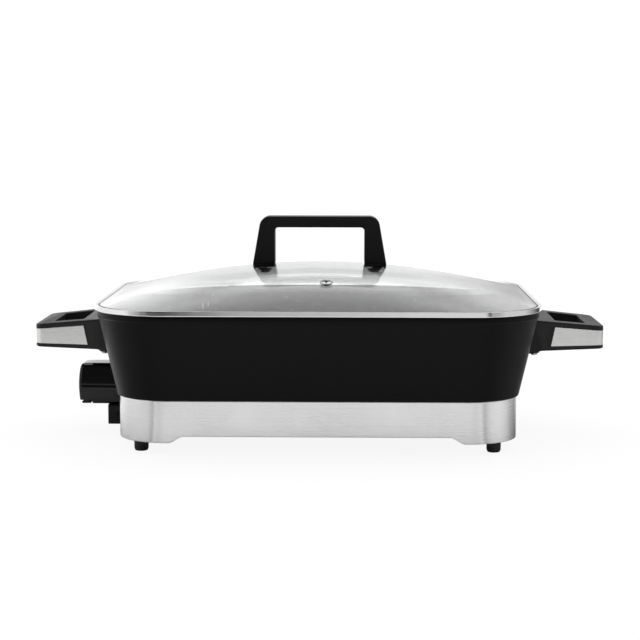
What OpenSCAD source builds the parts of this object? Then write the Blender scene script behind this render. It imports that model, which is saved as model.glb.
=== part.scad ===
// Electric skillet with a lift-off glass lid and a plug-in temperature control.
// Millimetres. +Z is up, z = 0 is the table under the feet, and the origin is
// under the middle of the pan. +X runs to the right-hand side handle, and the
// control plugs in on the left. +Y is away from the cook.
//
// Every rounded-rectangle piece (pan, base, lid rim) shares four corner
// centres, so one radius sets its size: half length = corner_x + r,
// half depth = corner_y + r.

/* [Plan] */
// X of the corner centres
corner_x = 141.5; // [140.5:0.5:141.5]
// Y of the corner centres
corner_y = 91; // [90:0.5:92]

/* [Pan] */
// Outer corner radius at the lip of the pan
pan_lip_r = 69.0; // [68.8:0.1:69.2]
// Outer corner radius at the foot of the pan wall
pan_foot_r = 50.9; // [50.5:0.1:51.2]
// Height of the rim of the pan
pan_rim_z = 132; // [131.5:0.1:132]
// Height of the underside of the pan
pan_under_z = 50.5; // [50.3:0.1:50.6]
// Height of the cooking surface
pan_floor_z = 56.5; // [55.5:0.5:59]
// Radius between the cooking surface and the wall
pan_fillet_r = 10; // [8:1:12]

/* [Base] */
// Outer corner radius of the steel skirt
skirt_r = 48.5; // [48.2:0.1:48.6]
// Sheet thickness of the skirt
skirt_t = 1.0; // [0.8:0.1:1.2]
// Lower edge of the skirt at its corners
skirt_low_z = 11; // [10:0.5:12]
// Lower edge of the skirt between the corners
skirt_high_z = 17.2; // [16.5:0.1:17.4]
// X of the middle of a foot
foot_x = 167; // [160:1:168]
// Y of the middle of a foot
foot_y = 116; // [110:1:117]

/* [Side handles] */
// X of the outer end of a side handle
grip_end_x = 279.6; // [276:0.2:284]
// Half width of a side handle at its outer end
grip_half_y = 47; // [46:0.5:50]
// Widening of each half towards the pan, mm per mm
grip_taper = 0.11; // [0.09:0.01:0.12]
// Height of the top of the outer end
grip_end_top = 111.6; // [111:0.2:113]
// Rise of the top towards the pan, mm per mm
grip_rise = 0.0946; // [0.085:0.0002:0.1]
// Corner radius of the outer end in plan
grip_corner_r = 8; // [7:0.5:10]

/* [Lid] */
// Outer corner radius of the steel lid rim
rim_r = 71; // [70.5:0.1:71.5]
// Height of the rim band
rim_h = 5.2; // [5:0.1:5.6]
// Corner radius of the edge of the glass
glass_r = 66.5; // [66.2:0.1:66.6]
// Rise of the dome
dome_h = 32.5; // [31:0.5:33]
// Thickness of the glass
glass_t = 4; // [3.6:0.1:4]
// X of a leg of the lid handle
leg_x = 55; // [54:0.5:56]
// Top of the lid handle
grip_top = 216.2; // [214:0.2:218]
// Depth of the lid handle
grip_depth = 20; // [18:0.5:22]
// X of the steam vent
vent_x = 8; // [0:1:12]
// Y of the steam vent
vent_y = -95.5; // [-98:0.5:-90]

/* [Control] */
// Half width of the control
ctl_half_y = 18; // [17.5:0.5:19]
// Top of the control
ctl_top = 68.1; // [67.5:0.1:69]
// Underside of the control
ctl_low = 27.3; // [27.2:0.1:27.8]
// Spacing of the two power pins
pin_gap = 23; // [22.6:0.1:23.4]
// Radius of a power pin
pin_r = 2.3; // [2.2:0.05:2.35]
// Radius of the temperature probe
probe_r = 4.0; // [3.9:0.05:4.1]
// Radius of the temperature dial
dial_r = 12.5; // [11.5:0.1:12.6]
// How far the release trigger can be pressed
trigger_travel = 1.8; // [1:0.1:1.8]

/* [Hidden] */

black = "#1b1b1c";
gloss = "#101011";
steel = "#c9cacb";

// pan wall: outer radius as a function of height
wall_z0 = pan_under_z + 2.5;
wall_z1 = pan_rim_z - 5.7;
wall_slope = (pan_lip_r - 1.1 - pan_foot_r) / (wall_z1 - wall_z0);
function wall_r(z) = pan_foot_r + (z - wall_z0) * wall_slope;
function inner_r(z) = wall_r(z) - 3.8;
wall_a = atan(wall_slope);

// element loop
loop_x = 110;
loop_y = 58;
loop_r = 24;
tube_r = 3.3;
pin_z = 45;        // element, power pins and probe lie at one height
probe_z = 45;
pin_y = pin_gap / 2;
bush_r = 3.6;      // ceramic bushes round the power pins

screw_x = 70;     // base screws
screw_y = 45;
grip_screw_x = 211.5;
grip_screw_y = 45;

ctl_in = -197.5;   // end of the control facing the pan
ctl_out = -242.6;  // outermost point of its convex end
ctl_step = -229;   // the underside is higher beyond this
dial_z = 46.5;
seam_z = 46.5;     // the two shells of the control meet here
post_a = [-224.5, -12.7];
post_b = [-231.6, 12.7];
gland_x = -221;
gland_z = 36.3;
glass_edge_z = pan_rim_z + 0.2 + rim_h;
lug_x = corner_x + wall_r(96) - 1.4;

function arc(c, r, a0, a1, n = 6) =
    [for (i = [0:n]) [c[0] + r * cos(a0 + (a1 - a0) * i / n),
                      c[1] + r * sin(a0 + (a1 - a0) * i / n)]];

// ---- shapes built round the four corner centres ----

module plan(r) {
    square([2 * (corner_x + r), 2 * corner_y], center = true);
    square([2 * corner_x, 2 * (corner_y + r)], center = true);
    for (sx = [-1, 1], sy = [-1, 1])
        translate([sx * corner_x, sy * corner_y]) circle(r = r, $fn = 96);
}

module slab(r, z0, z1) {
    translate([0, 0, z0]) linear_extrude(z1 - z0) plan(r);
}

// a closed (r, z) profile carried round the rounded rectangle
module sweep_ring(pts) {
    for (m = [0, 1], n = [0, 1]) mirror([m, 0, 0]) mirror([0, n, 0])
        translate([corner_x, corner_y, 0])
            rotate_extrude(angle = 90, $fn = 96) polygon(pts);
    for (m = [0, 1]) {
        mirror([m, 0, 0]) translate([corner_x, corner_y, 0])
            rotate([90, 0, 0]) linear_extrude(2 * corner_y) polygon(pts);
        mirror([0, m, 0]) rotate([0, 0, 90]) translate([corner_y, corner_x, 0])
            rotate([90, 0, 0]) linear_extrude(2 * corner_x) polygon(pts);
    }
}

// the same for a profile that starts and ends on r = 0, filled in the middle
module sweep_solid(pts) {
    sweep_ring(pts);
    z0 = pts[0][1];
    z1 = pts[len(pts) - 1][1];
    translate([-corner_x, -corner_y, z0])
        cube([2 * corner_x, 2 * corner_y, z1 - z0]);
}

module screw(head_r, head_h, shank_r, len) {
    // head below z = 0, shank upwards
    translate([0, 0, -head_h]) cylinder(r = head_r, h = head_h, $fn = 48);
    cylinder(r = shank_r, h = len, $fn = 32);
}

module four(x, y) {
    for (sx = [-1, 1], sy = [-1, 1]) translate([sx * x, sy * y, 0]) children();
}

// ---- pan ----

module element_path(r, out = -172) {
    // tube of radius r along the whole loop
    rotate([90, 0, 0]) translate([loop_x + loop_r, pin_z, -loop_y])
        cylinder(r = r, h = 2 * loop_y, $fn = 32);
    for (m = [0, 1]) mirror([0, m, 0]) {
        for (n = [0, 1]) mirror([n, 0, 0]) translate([loop_x, loop_y, pin_z])
            rotate_extrude(angle = 90, $fn = 64) translate([loop_r, 0])
                circle(r = r, $fn = 32);
        translate([-loop_x, loop_y + loop_r, pin_z]) rotate([0, 90, 0])
            cylinder(r = r, h = 2 * loop_x, $fn = 32);
        translate([-loop_x - loop_r, pin_y + 12, pin_z]) rotate([-90, 0, 0])
            cylinder(r = r, h = loop_y - pin_y - 12, $fn = 32);
        translate([-loop_x - loop_r - 12, pin_y + 12, pin_z]) rotate([0, 0, -90])
            rotate_extrude(angle = 90, $fn = 48) translate([12, 0])
                circle(r = r, $fn = 32);
        translate([out, pin_y, pin_z]) rotate([0, 90, 0])
            cylinder(r = r, h = -loop_x - loop_r - 12 - out, $fn = 32);
    }
}

module loop_plan(d) {
    r = loop_r + d;
    square([2 * (loop_x + r), 2 * loop_y], center = true);
    square([2 * loop_x, 2 * (loop_y + r)], center = true);
    for (sx = [-1, 1], sy = [-1, 1])
        translate([sx * loop_x, sy * loop_y]) circle(r = r, $fn = 64);
}

module pan_body() {
    outer = concat(
        [[0, pan_under_z], [pan_foot_r - 2.3, pan_under_z]],
        arc([pan_foot_r - 2.3, pan_under_z + 2.3], 2.3, -90, -wall_a, 4),
        [[wall_r(wall_z1), wall_z1]],
        [[pan_lip_r - 0.2, wall_z1 + 0.7], [pan_lip_r, wall_z1 + 1.3],
         [pan_lip_r, pan_rim_z - 0.9], [pan_lip_r - 0.8, pan_rim_z],
         [0, pan_rim_z]]);
    fc = inner_r(pan_floor_z + pan_fillet_r) - pan_fillet_r / cos(wall_a);
    inner = concat(
        [[0, pan_floor_z]],
        arc([fc, pan_floor_z + pan_fillet_r], pan_fillet_r, -90, -wall_a, 6),
        [[inner_r(pan_rim_z - 0.8), pan_rim_z - 0.8],
         [inner_r(pan_rim_z - 0.8) + 0.9, pan_rim_z + 0.1],
         [0, pan_rim_z + 0.1]]);
    color(black) difference() {
        union() {
            difference() {
                sweep_solid(outer);
                sweep_solid(inner);
            }
            // channel that carries the element
            translate([0, 0, 45]) linear_extrude(pan_under_z - 45)
                difference() { loop_plan(6.5); loop_plan(-6.5); }
            // tunnel for the temperature probe
            translate([-170, -7, 39.5]) cube([58, 14, pan_under_z - 39.5]);
            // pillars for the base screws
            four(screw_x, screw_y) translate([0, 0, 36.8])
                cylinder(r = 7, h = pan_under_z - 36.8, $fn = 48);
            four(screw_x, screw_y) translate([0, 0, 30])
                cylinder(r = 4.8, h = 10, $fn = 48);
            // lugs that carry the side handles
            for (m = [0, 1], s = [-1, 1]) mirror([m, 0, 0])
                translate([lug_x, s * grip_screw_y - 5, 96]) cube([219 - lug_x, 10, 9]);
        }
        element_path(tube_r);
        translate([-171, 0, probe_z]) rotate([0, 90, 0])
            cylinder(r = probe_r + 0.06, h = 55, $fn = 48);
        four(screw_x, screw_y) translate([0, 0, 29])
            cylinder(r = 2.0, h = 14, $fn = 32);
        for (m = [0, 1], s = [-1, 1]) mirror([m, 0, 0])
            translate([grip_screw_x, s * grip_screw_y, 95])
                cylinder(r = 2.0, h = 11, $fn = 32);
    }
}

module heating_element() { color("#5c5a57") element_path(tube_r); }

module terminal_pins() {
    color("#b9bcc0") for (s = [-1, 1])
        translate([-207, s * pin_y, pin_z]) rotate([0, 90, 0]) {
            translate([0, 0, 1]) cylinder(r = pin_r, h = 34, $fn = 32);
            cylinder(r1 = pin_r - 0.8, r2 = pin_r, h = 1, $fn = 32);
        }
}

module terminal_insulators() {
    color("#e6e1d6") for (s = [-1, 1])
        translate([-196, s * pin_y, pin_z]) rotate([0, 90, 0])
            difference() {
                union() {
                    cylinder(r = bush_r, h = 16, $fn = 48);
                    translate([0, 0, 6.2]) cylinder(r = bush_r + 1.4, h = 2.5, $fn = 48);
                }
                translate([0, 0, -1]) cylinder(r = pin_r + 0.02, h = 20, $fn = 32);
            }
}

module heat_reflector() {
    color("#c4c6c8") difference() {
        slab(38, 36, 36.8);
        four(screw_x, screw_y) translate([0, 0, 35])
            cylinder(r = 5.0, h = 4, $fn = 48);
        // clears the probe tunnel end and the terminals
        translate([-186, -20, 35]) cube([20, 40, 4]);
    }
}

module reflector_spacers() {
    color("#a9abad") four(screw_x, screw_y) translate([0, 0, 20.5])
        difference() {
            cylinder(r = 7, h = 15.5, $fn = 48);
            translate([0, 0, -1]) cylinder(r = 5.0, h = 18, $fn = 48);
        }
}

// ---- base ----

module skirt_notch(half, low, high, run) {
    // outline of the raised middle of a lower edge
    polygon([[-half - run, low - 1], [-half - run, low], [-half, high],
             [half, high], [half + run, low], [half + run, low - 1]]);
}

module base_skirt() {
    ri = skirt_r - skirt_t;
    color(steel) difference() {
        sweep_ring([[ri, skirt_low_z], [skirt_r, skirt_low_z],
                    [skirt_r, pan_under_z], [ri, pan_under_z],
                    [ri, 21.5], [41, 21.5], [41, 20.5], [ri, 20.5]]);
        // raised middle, front and back
        translate([0, 160, 0]) rotate([90, 0, 0]) linear_extrude(320)
            skirt_notch(126, skirt_low_z, skirt_high_z, 12);
        // raised middle, left and right
        translate([-220, 0, 0]) rotate([90, 0, 90]) linear_extrude(440)
            skirt_notch(70, skirt_low_z, skirt_high_z, 12);
        // window for the terminals, with holes for the guard screws
        translate([-195, -18, 37.5]) cube([10, 36, 15]);
        for (s = [-1, 1]) translate([-195, s * 20.5, 33]) rotate([0, 90, 0])
            cylinder(r = 1.5, h = 10, $fn = 32);
    }
}

module base_plate() {
    color("#9b9da0") difference() {
        slab(skirt_r - skirt_t - 0.3, 19.5, 20.5);
        four(screw_x, screw_y) translate([0, 0, 18])
            cylinder(r = 2.1, h = 4, $fn = 32);
        four(foot_x, foot_y) translate([0, 0, 18])
            cylinder(r = 1.85, h = 4, $fn = 32);
        // louvre slots
        for (i = [-3:3]) translate([i * 16 - 2, -20, 18]) cube([4, 40, 4]);
    }
}

module base_screws() {
    color("#b8babd") four(screw_x, screw_y) translate([0, 0, 19.5])
        screw(4, 2.2, 1.95, 21);
}

module feet() {
    color("#151515") four(foot_x, foot_y) difference() {
        union() {
            cylinder(r1 = 5.7, r2 = 6.7, h = 1.6, $fn = 48);
            translate([0, 0, 1.6]) cylinder(r1 = 6.7, r2 = 7.2, h = 17.9, $fn = 48);
        }
        translate([0, 0, -1]) cylinder(r = 3.5, h = 5, $fn = 32);
        translate([0, 0, 3]) cylinder(r = 1.85, h = 18, $fn = 32);
    }
}

module foot_screws() {
    color("#b8babd") four(foot_x, foot_y) translate([0, 0, 4])
        screw(3.2, 2.2, 1.8, 19);
}

module socket_guard() {
    color(black) difference() {
        union() {
            translate([-194.5, -25, 7]) cube([4.5, 50, pan_under_z - 7.2]);
            translate([-212.5, -20, 7]) cube([19, 40, 20]);
        }
        // the block is open underneath
        translate([-209.5, -17, 6]) cube([12, 34, 18]);
        for (s = [-1, 1]) translate([-196, s * pin_y, pin_z]) rotate([0, 90, 0])
            cylinder(r = bush_r + 0.05, h = 10, $fn = 48);
        translate([-196, 0, probe_z]) rotate([0, 90, 0])
            cylinder(r = 4.8, h = 10, $fn = 48);
        for (s = [-1, 1]) translate([-196, s * 20.5, 33]) rotate([0, 90, 0]) {
            cylinder(r = 1.5, h = 10, $fn = 32);
            cylinder(r = 3.0, h = 3.6, $fn = 32);
        }
    }
}

module guard_screws() {
    color("#b8babd") for (s = [-1, 1])
        translate([-192.4, s * 20.5, 33]) rotate([0, 90, 0])
            screw(2.8, 1.8, 1.45, 6);
}

// ---- side handles, drawn for the right-hand side ----

function grip_z(x) = grip_end_top + (grip_end_x - x) * grip_rise;

module grip_plan(d = 0) {
    // plan outline of the whole grip, moved in by d; it widens towards the pan
    n = sqrt(1 + grip_taper * grip_taper);
    r = grip_corner_r - d;
    xc = grip_end_x - grip_corner_r;
    yc = grip_half_y + grip_corner_r * (grip_taper - n);
    y0 = grip_half_y + (grip_end_x - 190) * grip_taper - d * n;
    a = 90 - atan(grip_taper);
    polygon(concat([[190, -y0]], arc([xc, -yc], r, -a, 0, 10),
                   arc([xc, yc], r, 0, a, 10), [[190, y0]]));
}

module side_xz(pts, half) {
    // an X-Z outline, both ways from the middle
    translate([0, half, 0]) rotate([90, 0, 0]) linear_extrude(2 * half)
        polygon(pts);
}

module inlay_xz() {
    side_xz([[227, 92.1], [290, 92.95], [290, 105.9], [231, 111]], 70);
}

module inlay_shape(d_out) {
    // strip let into the front, the outer end and the back of the grip
    intersection() {
        inlay_xz();
        translate([0, 0, 85]) linear_extrude(35)
            difference() { grip_plan(d_out); grip_plan(1.4); }
    }
}

module hand_hole() {
    // chamfered corners of the opening for the fingers
    polygon([[233, -36.5], [233, 36.5], [235.5, 38.7], [260.5, 35.3],
             [263, 32.5], [263, -32.5], [260.5, -35.3], [235.5, -38.7]]);
}

module side_handle() {
    gap = 0.2;
    function px(z) = corner_x + wall_r(z) + gap;
    color(black) difference() {
        intersection() {
            side_xz([[px(84.8), 84.8], [209.5, 85.2], [218, 87.6],
                     [grip_end_x + 1, 89.3],
                     [grip_end_x + 1, grip_z(grip_end_x + 1)],
                     [px(118.5), grip_z(px(118.5))]], 70);
            translate([0, 0, 80]) linear_extrude(45) grip_plan(0);
        }
        translate([0, 0, 80]) linear_extrude(45) hand_hole();
        inlay_shape(-1);
        for (s = [-1, 1]) translate([0, s * grip_screw_y, 0]) {
            // pocket for the lug of the pan, and the screw hole below it
            translate([195, -5.15, 95.85]) cube([24.2, 10.3, 9.3]);
            translate([grip_screw_x, 0, 80]) cylinder(r = 2.1, h = 18, $fn = 32);
            translate([grip_screw_x, 0, 80]) cylinder(r = 4, h = 6.4, $fn = 48);
        }
    }
}

module left_handle() { mirror([1, 0, 0]) side_handle(); }
module right_handle() { side_handle(); }
module left_handle_inlay() { color(steel) mirror([1, 0, 0]) inlay_shape(0); }
module right_handle_inlay() { color(steel) inlay_shape(0); }

module handle_screws() {
    color("#c6c8ca") four(grip_screw_x, grip_screw_y) translate([0, 0, 86.4])
        screw(3.2, 3.2, 1.95, 17);
}

// ---- lid ----

// top of the glass over a point of the plan
function glass_z(x, y) = glass_edge_z + dome_h
    * (1 - pow(x / (corner_x + glass_r), 2) - pow(y / (corner_y + glass_r), 2));

// one point of the edge outline: fourteen to a quarter, nine of them round the
// corner and five along the straight side that follows it
ne = 56;
function corner_pt(q, a) =
    let (sx = (q % 4 == 0 || q % 4 == 3) ? 1 : -1, sy = q % 4 < 2 ? 1 : -1)
    [sx * corner_x + glass_r * cos(a), sy * corner_y + glass_r * sin(a)];
function edge_pt(k) =
    let (q = floor(k / 14), i = k % 14)
    i < 9 ? corner_pt(q, q * 90 + i * 90 / 8)
          : let (t = (i - 8) / 6, e = (q + 1) * 90)
            (1 - t) * corner_pt(q, e) + t * corner_pt(q + 1, e);

// the outline shrinks to an ellipse as it nears the middle
function ring_pt(k, s) =
    let (ax = corner_x + glass_r, ay = corner_y + glass_r, p = edge_pt(k),
         t = atan2(p[1] / ay, p[0] / ax), w = pow(s, 1.5))
    [s * (w * p[0] + (1 - w) * ax * cos(t)),
     s * (w * p[1] + (1 - w) * ay * sin(t))];

ring_s = [0.08, 0.16, 0.24, 0.32, 0.4, 0.48, 0.56, 0.63, 0.7, 0.77, 0.84, 0.9,
          0.95, 1];
nr = len(ring_s);

module dome_solid() {
    z = function(s) glass_edge_z + dome_h * (1 - s * s);
    pts = concat(
        [[0, 0, z(0)]],
        [for (s = ring_s, k = [0:ne - 1]) let (p = ring_pt(k, s)) [p[0], p[1], z(s)]],
        [[0, 0, z(0) - glass_t]],
        [for (s = ring_s, k = [0:ne - 1])
            let (p = ring_pt(k, s)) [p[0], p[1], z(s) - glass_t]]);
    b = 1 + nr * ne;
    faces = concat(
        [for (k = [0:ne - 1]) [0, 1 + (k + 1) % ne, 1 + k]],
        [for (i = [0:nr - 2], k = [0:ne - 1])
            let (u = 1 + i * ne, v = u + ne, n = (k + 1) % ne)
            [u + k, u + n, v + n]],
        [for (i = [0:nr - 2], k = [0:ne - 1])
            let (u = 1 + i * ne, v = u + ne, n = (k + 1) % ne)
            [u + k, v + n, v + k]],
        [for (k = [0:ne - 1]) [b, b + 1 + k, b + 1 + (k + 1) % ne]],
        [for (i = [0:nr - 2], k = [0:ne - 1])
            let (u = b + 1 + i * ne, v = u + ne, n = (k + 1) % ne)
            [u + k, v + n, u + n]],
        [for (i = [0:nr - 2], k = [0:ne - 1])
            let (u = b + 1 + i * ne, v = u + ne, n = (k + 1) % ne)
            [u + k, v + k, v + n]],
        [for (k = [0:ne - 1])
            let (u = 1 + (nr - 1) * ne, v = b + u, n = (k + 1) % ne)
            [u + k, u + n, v + n]],
        [for (k = [0:ne - 1])
            let (u = 1 + (nr - 1) * ne, v = b + u, n = (k + 1) % ne)
            [u + k, v + n, v + k]]);
    polyhedron(pts, faces);
}

vent_tilt = atan(2 * dome_h * -vent_y / pow(corner_y + glass_r, 2));

module lid_glass() {
    color([0.8, 0.86, 0.88, 0.35]) difference() {
        dome_solid();
        for (s = [-1, 1]) translate([s * leg_x, 0, 150])
            cylinder(r = 3.6, h = 30, $fn = 32);
        translate([vent_x, vent_y, glass_z(vent_x, vent_y)])
            rotate([vent_tilt, 0, 0]) translate([0, 0, -15])
                cylinder(r = 3.5, h = 30, $fn = 32);
    }
}

module lid_rim() {
    z0 = pan_rim_z + 0.2;
    gi = glass_r + 0.1;
    color("#d5d6d7") sweep_ring([
        [61.5, 126.6], [62.5, 126.6], [62.5, z0], [rim_r - 1.2, z0],
        [rim_r, z0 + 0.8], [rim_r, z0 + rim_h - 0.5],
        [rim_r - 0.5, z0 + rim_h], [gi + 0.4, z0 + rim_h],
        [gi, z0 + rim_h - 0.3], [gi, glass_edge_z - glass_t - 0.1],
        [62.6, glass_edge_z - glass_t - 0.1],
        [61.5, glass_edge_z - glass_t - 0.4]]);
}

// height of the underside of the handle over the glass, a straight line
leg_in = 44.5;
leg_out = 67;
chord = (glass_z(leg_out, 0) - glass_z(leg_in, 0)) / (leg_out - leg_in);
function leg_z(x, d) = glass_z(leg_in, 0) + (x - leg_in) * chord + d;

module lid_handle() {
    right = concat(
        [[leg_in, leg_z(leg_in, 0.85)], [leg_out, leg_z(leg_out, 0.85)]],
        arc([49.6, grip_top - 10.6], 10.6, 9, 90, 9));
    left = [for (i = [len(right) - 1:-1:0]) [-right[i][0], right[i][1]]];
    inner_r = arc([41, 201.5], 3.6, 0, 90, 5);
    inner = concat(
        [[leg_in + 0.05, 150]],
        inner_r,
        [for (i = [len(inner_r) - 1:-1:0]) [-inner_r[i][0], inner_r[i][1]]],
        [[-leg_in - 0.05, 150]]);
    color(black) difference() {
        translate([0, grip_depth / 2, 0]) rotate([90, 0, 0])
            linear_extrude(grip_depth) difference() {
                polygon(concat(right, left));
                polygon(inner);
            }
        for (s = [-1, 1]) translate([s * leg_x, 0, 150])
            cylinder(r = 2.55, h = 36, $fn = 32);
    }
}

module lid_handle_pads() {
    color("#111111") for (m = [0, 1]) mirror([m, 0, 0]) difference() {
        translate([0, 9.6, 0]) rotate([90, 0, 0]) linear_extrude(19.2)
            polygon([[leg_in + 0.3, leg_z(leg_in + 0.3, 0.08)],
                     [leg_out - 0.3, leg_z(leg_out - 0.3, 0.08)],
                     [leg_out - 0.3, leg_z(leg_out - 0.3, 0.85)],
                     [leg_in + 0.3, leg_z(leg_in + 0.3, 0.85)]]);
        translate([leg_x, 0, 150]) cylinder(r = 3.2, h = 30, $fn = 32);
    }
}

under_z = glass_z(leg_x, 0) - glass_t;

module lid_handle_screws() {
    color("#c6c8ca") for (s = [-1, 1]) translate([s * leg_x, 0, under_z - 2.2])
        screw(5, 2.6, 2.5, 23);
}

module lid_handle_washers() {
    color("#141414") for (s = [-1, 1]) translate([s * leg_x, 0, under_z - 2.2])
        difference() {
            cylinder(r = 7, h = 1.4, $fn = 48);
            translate([0, 0, -1]) cylinder(r = 2.6, h = 4, $fn = 32);
        }
}

module steam_vent() {
    color("#c6c8ca") translate([vent_x, vent_y, glass_z(vent_x, vent_y)])
        rotate([vent_tilt, 0, 0]) difference() {
            union() {
                translate([0, 0, 0.12]) cylinder(r = 6.2, h = 0.9, $fn = 48);
                translate([0, 0, 1.02]) cylinder(r1 = 5.4, r2 = 4, h = 1.2, $fn = 48);
                translate([0, 0, -4.8]) cylinder(r = 3.2, h = 5.5, $fn = 32);
                translate([0, 0, -5.4]) cylinder(r = 5.2, h = 0.8, $fn = 48);
            }
            translate([0, 0, -7]) cylinder(r = 1.7, h = 12, $fn = 32);
        }
}

// ---- control ----

module ctl_body() {
    // rounded bar along X, closed by a convex outer end
    r = 4.5;
    w = ctl_half_y;
    intersection() {
        translate([ctl_out - 5, 0, 0]) rotate([90, 0, 90])
            linear_extrude(ctl_in - ctl_out + 5) union() {
                translate([-w, ctl_low + r])
                    square([2 * w, ctl_top - ctl_low - 2 * r]);
                translate([-w + r, ctl_low])
                    square([2 * (w - r), ctl_top - ctl_low]);
                for (y = [-w + r, w - r], z = [ctl_low + r, ctl_top - r])
                    translate([y, z]) circle(r = r, $fn = 48);
            }
        translate([ctl_out + 110, 30, 46]) rotate([90, 0, 0])
            cylinder(r = 110, h = 60, $fn = 192);
    }
}

module ctl_cuts() {
    // openings that cross the seam between the two shells
    for (s = [-1, 1]) translate([-202, s * pin_y, pin_z]) rotate([0, 90, 0])
        cylinder(r = 2.7, h = 6, $fn = 32);
    translate([-202, 0, probe_z]) rotate([0, 90, 0])
        cylinder(r = probe_r + 0.05, h = 6, $fn = 48);
    // well and bearing of the dial
    translate([ctl_out - 1, 0, dial_z]) rotate([0, 90, 0])
        cylinder(r = dial_r + 0.4, h = 4.6, $fn = 64);
    translate([ctl_out, 0, dial_z]) rotate([0, 90, 0])
        cylinder(r = 3.06, h = 12, $fn = 32);
}

module control_upper_shell() {
    color(gloss) difference() {
        intersection() {
            ctl_body();
            translate([-260, -30, seam_z]) cube([80, 60, 40]);
        }
        difference() {
            translate([-235, -15.5, seam_z - 1]) cube([35, 31, ctl_top - 2.6 - seam_z + 1]);
            // screw posts
            for (p = [post_a, post_b])
                translate([p[0], p[1], seam_z]) cylinder(r = 3, h = 30, $fn = 32);
        }
        for (p = [post_a, post_b])
            translate([p[0], p[1], seam_z - 1]) cylinder(r = 1.25, h = 12, $fn = 32);
        ctl_cuts();
        // indicator window
        translate([-245, 0, 63.4]) rotate([0, 90, 0])
            cylinder(r = 2.0, h = 12, $fn = 32);
        // seam groove
        translate([0, 0, seam_z - 0.01]) linear_extrude(0.5) difference() {
            translate([-245, -20]) square([50, 40]);
            translate([ctl_out + 0.9, -ctl_half_y + 0.7])
                square([ctl_in - ctl_out - 1.6, 2 * ctl_half_y - 1.4]);
        }
    }
}

module control_lower_shell() {
    color("#161617") difference() {
        intersection() {
            ctl_body();
            union() {
                translate([ctl_step, -30, 20]) cube([60, 60, seam_z - 20]);
                translate([-260, -30, 31]) cube([60, 60, seam_z - 31]);
            }
        }
        difference() {
            union() {
                translate([ctl_step + 3, -15.5, ctl_low + 2.5])
                    cube([-200 - ctl_step - 3, 31, seam_z - ctl_low]);
                translate([-235, -15.5, 34]) cube([35, 31, seam_z - 30]);
            }
            for (p = [post_a, post_b])
                translate([p[0], p[1], 20]) cylinder(r = 3, h = seam_z - 20, $fn = 32);
        }
        for (p = [post_a, post_b])
            translate([p[0], p[1], 20]) cylinder(r = 1.4, h = 30, $fn = 32);
        translate([post_a[0], post_a[1], 20]) cylinder(r = 2.3, h = 9.3, $fn = 32);
        translate([post_b[0], post_b[1], 20]) cylinder(r = 2.3, h = 12.9, $fn = 32);
        ctl_cuts();
        // slot for the stem of the release trigger
        translate([-234.7, -6.2, 30]) cube([3.4, 12.4, 6]);
        // hole for the cord gland
        translate([gland_x, 10, gland_z]) rotate([-90, 0, 0])
            cylinder(r = 4.3, h = 12, $fn = 48);
    }
}

module probe_rod() {
    color("#c2c4c6") translate([-218, 0, probe_z]) rotate([0, 90, 0]) {
        cylinder(r = probe_r, h = 95, $fn = 48);
        translate([0, 0, 95]) cylinder(r1 = probe_r, r2 = probe_r - 1.5, h = 3, $fn = 48);
    }
}

module contact_sockets() {
    color("#c8a24a") for (s = [-1, 1])
        translate([-219.5, s * pin_y, pin_z]) rotate([0, 90, 0]) difference() {
            cylinder(r = 3.6, h = 18.9, $fn = 48);
            translate([0, 0, 4]) cylinder(r = pin_r + 0.05, h = 20, $fn = 32);
        }
}

module thermostat_switch() {
    color("#d9d2c0") {
        translate([-230.5, -9, 41.3]) cube([11, 18, 17]);
        translate([-219.5, -5, 40]) cube([1.5, 10, 11]);
    }
}

module indicator_lens() {
    color("#c0392b") translate([-240.2, 0, 63.4]) rotate([0, 90, 0])
        cylinder(r = 1.95, h = 6, $fn = 32);
}

module cord_gland() {
    color("#151515") translate([gland_x, 0, gland_z]) rotate([-90, 0, 0]) difference() {
        union() {
            translate([0, 0, 13.2]) cylinder(r = 5.1, h = 2.2, $fn = 48);
            translate([0, 0, 15]) cylinder(r = 4.2, h = ctl_half_y - 14.5, $fn = 48);
            translate([0, 0, ctl_half_y + 0.1]) cylinder(r1 = 5.2, r2 = 4.2, h = 8, $fn = 48);
        }
        translate([0, 0, 10]) cylinder(r = 2.8, h = 20, $fn = 32);
    }
}

module control_screws() {
    color("#b8babd") {
        translate([post_a[0], post_a[1], 29.3]) screw(2.2, 1.4, 1.2, 26);
        translate([post_b[0], post_b[1], 32.9]) screw(2.2, 1.4, 1.2, 22);
    }
}

module control_dial() {
    color("#19191a") translate([ctl_out + 3.55, 0, dial_z]) rotate([0, -90, 0])
        difference() {
            union() {
                cylinder(r = dial_r, h = 3.0, $fn = 64);
                translate([0, 0, 3.0]) cylinder(r1 = dial_r, r2 = dial_r - 2.2, h = 1.0, $fn = 64);
            }
            // two finger hollows leave a grip across the middle
            for (s = [-1, 1]) translate([0, 0, 1.6]) intersection() {
                cylinder(r = dial_r - 3.2, h = 5, $fn = 48);
                translate([-20, s > 0 ? 2.2 : -22.2, 0]) cube([40, 20, 5]);
            }
            translate([0, 0, -1]) cylinder(r = 1.6, h = 3.2, $fn = 32);
        }
}

module dial_shaft() {
    color("#b8babd") translate([ctl_out + 1.4, 0, dial_z]) rotate([0, 90, 0]) {
        cylinder(r = 1.55, h = 2.3, $fn = 32);
        translate([0, 0, 2.3]) cylinder(r = 3.0, h = 6.6, $fn = 32);
    }
}

tab_top = 30.8 - trigger_travel;   // stops 0.2 below the raised underside

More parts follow.
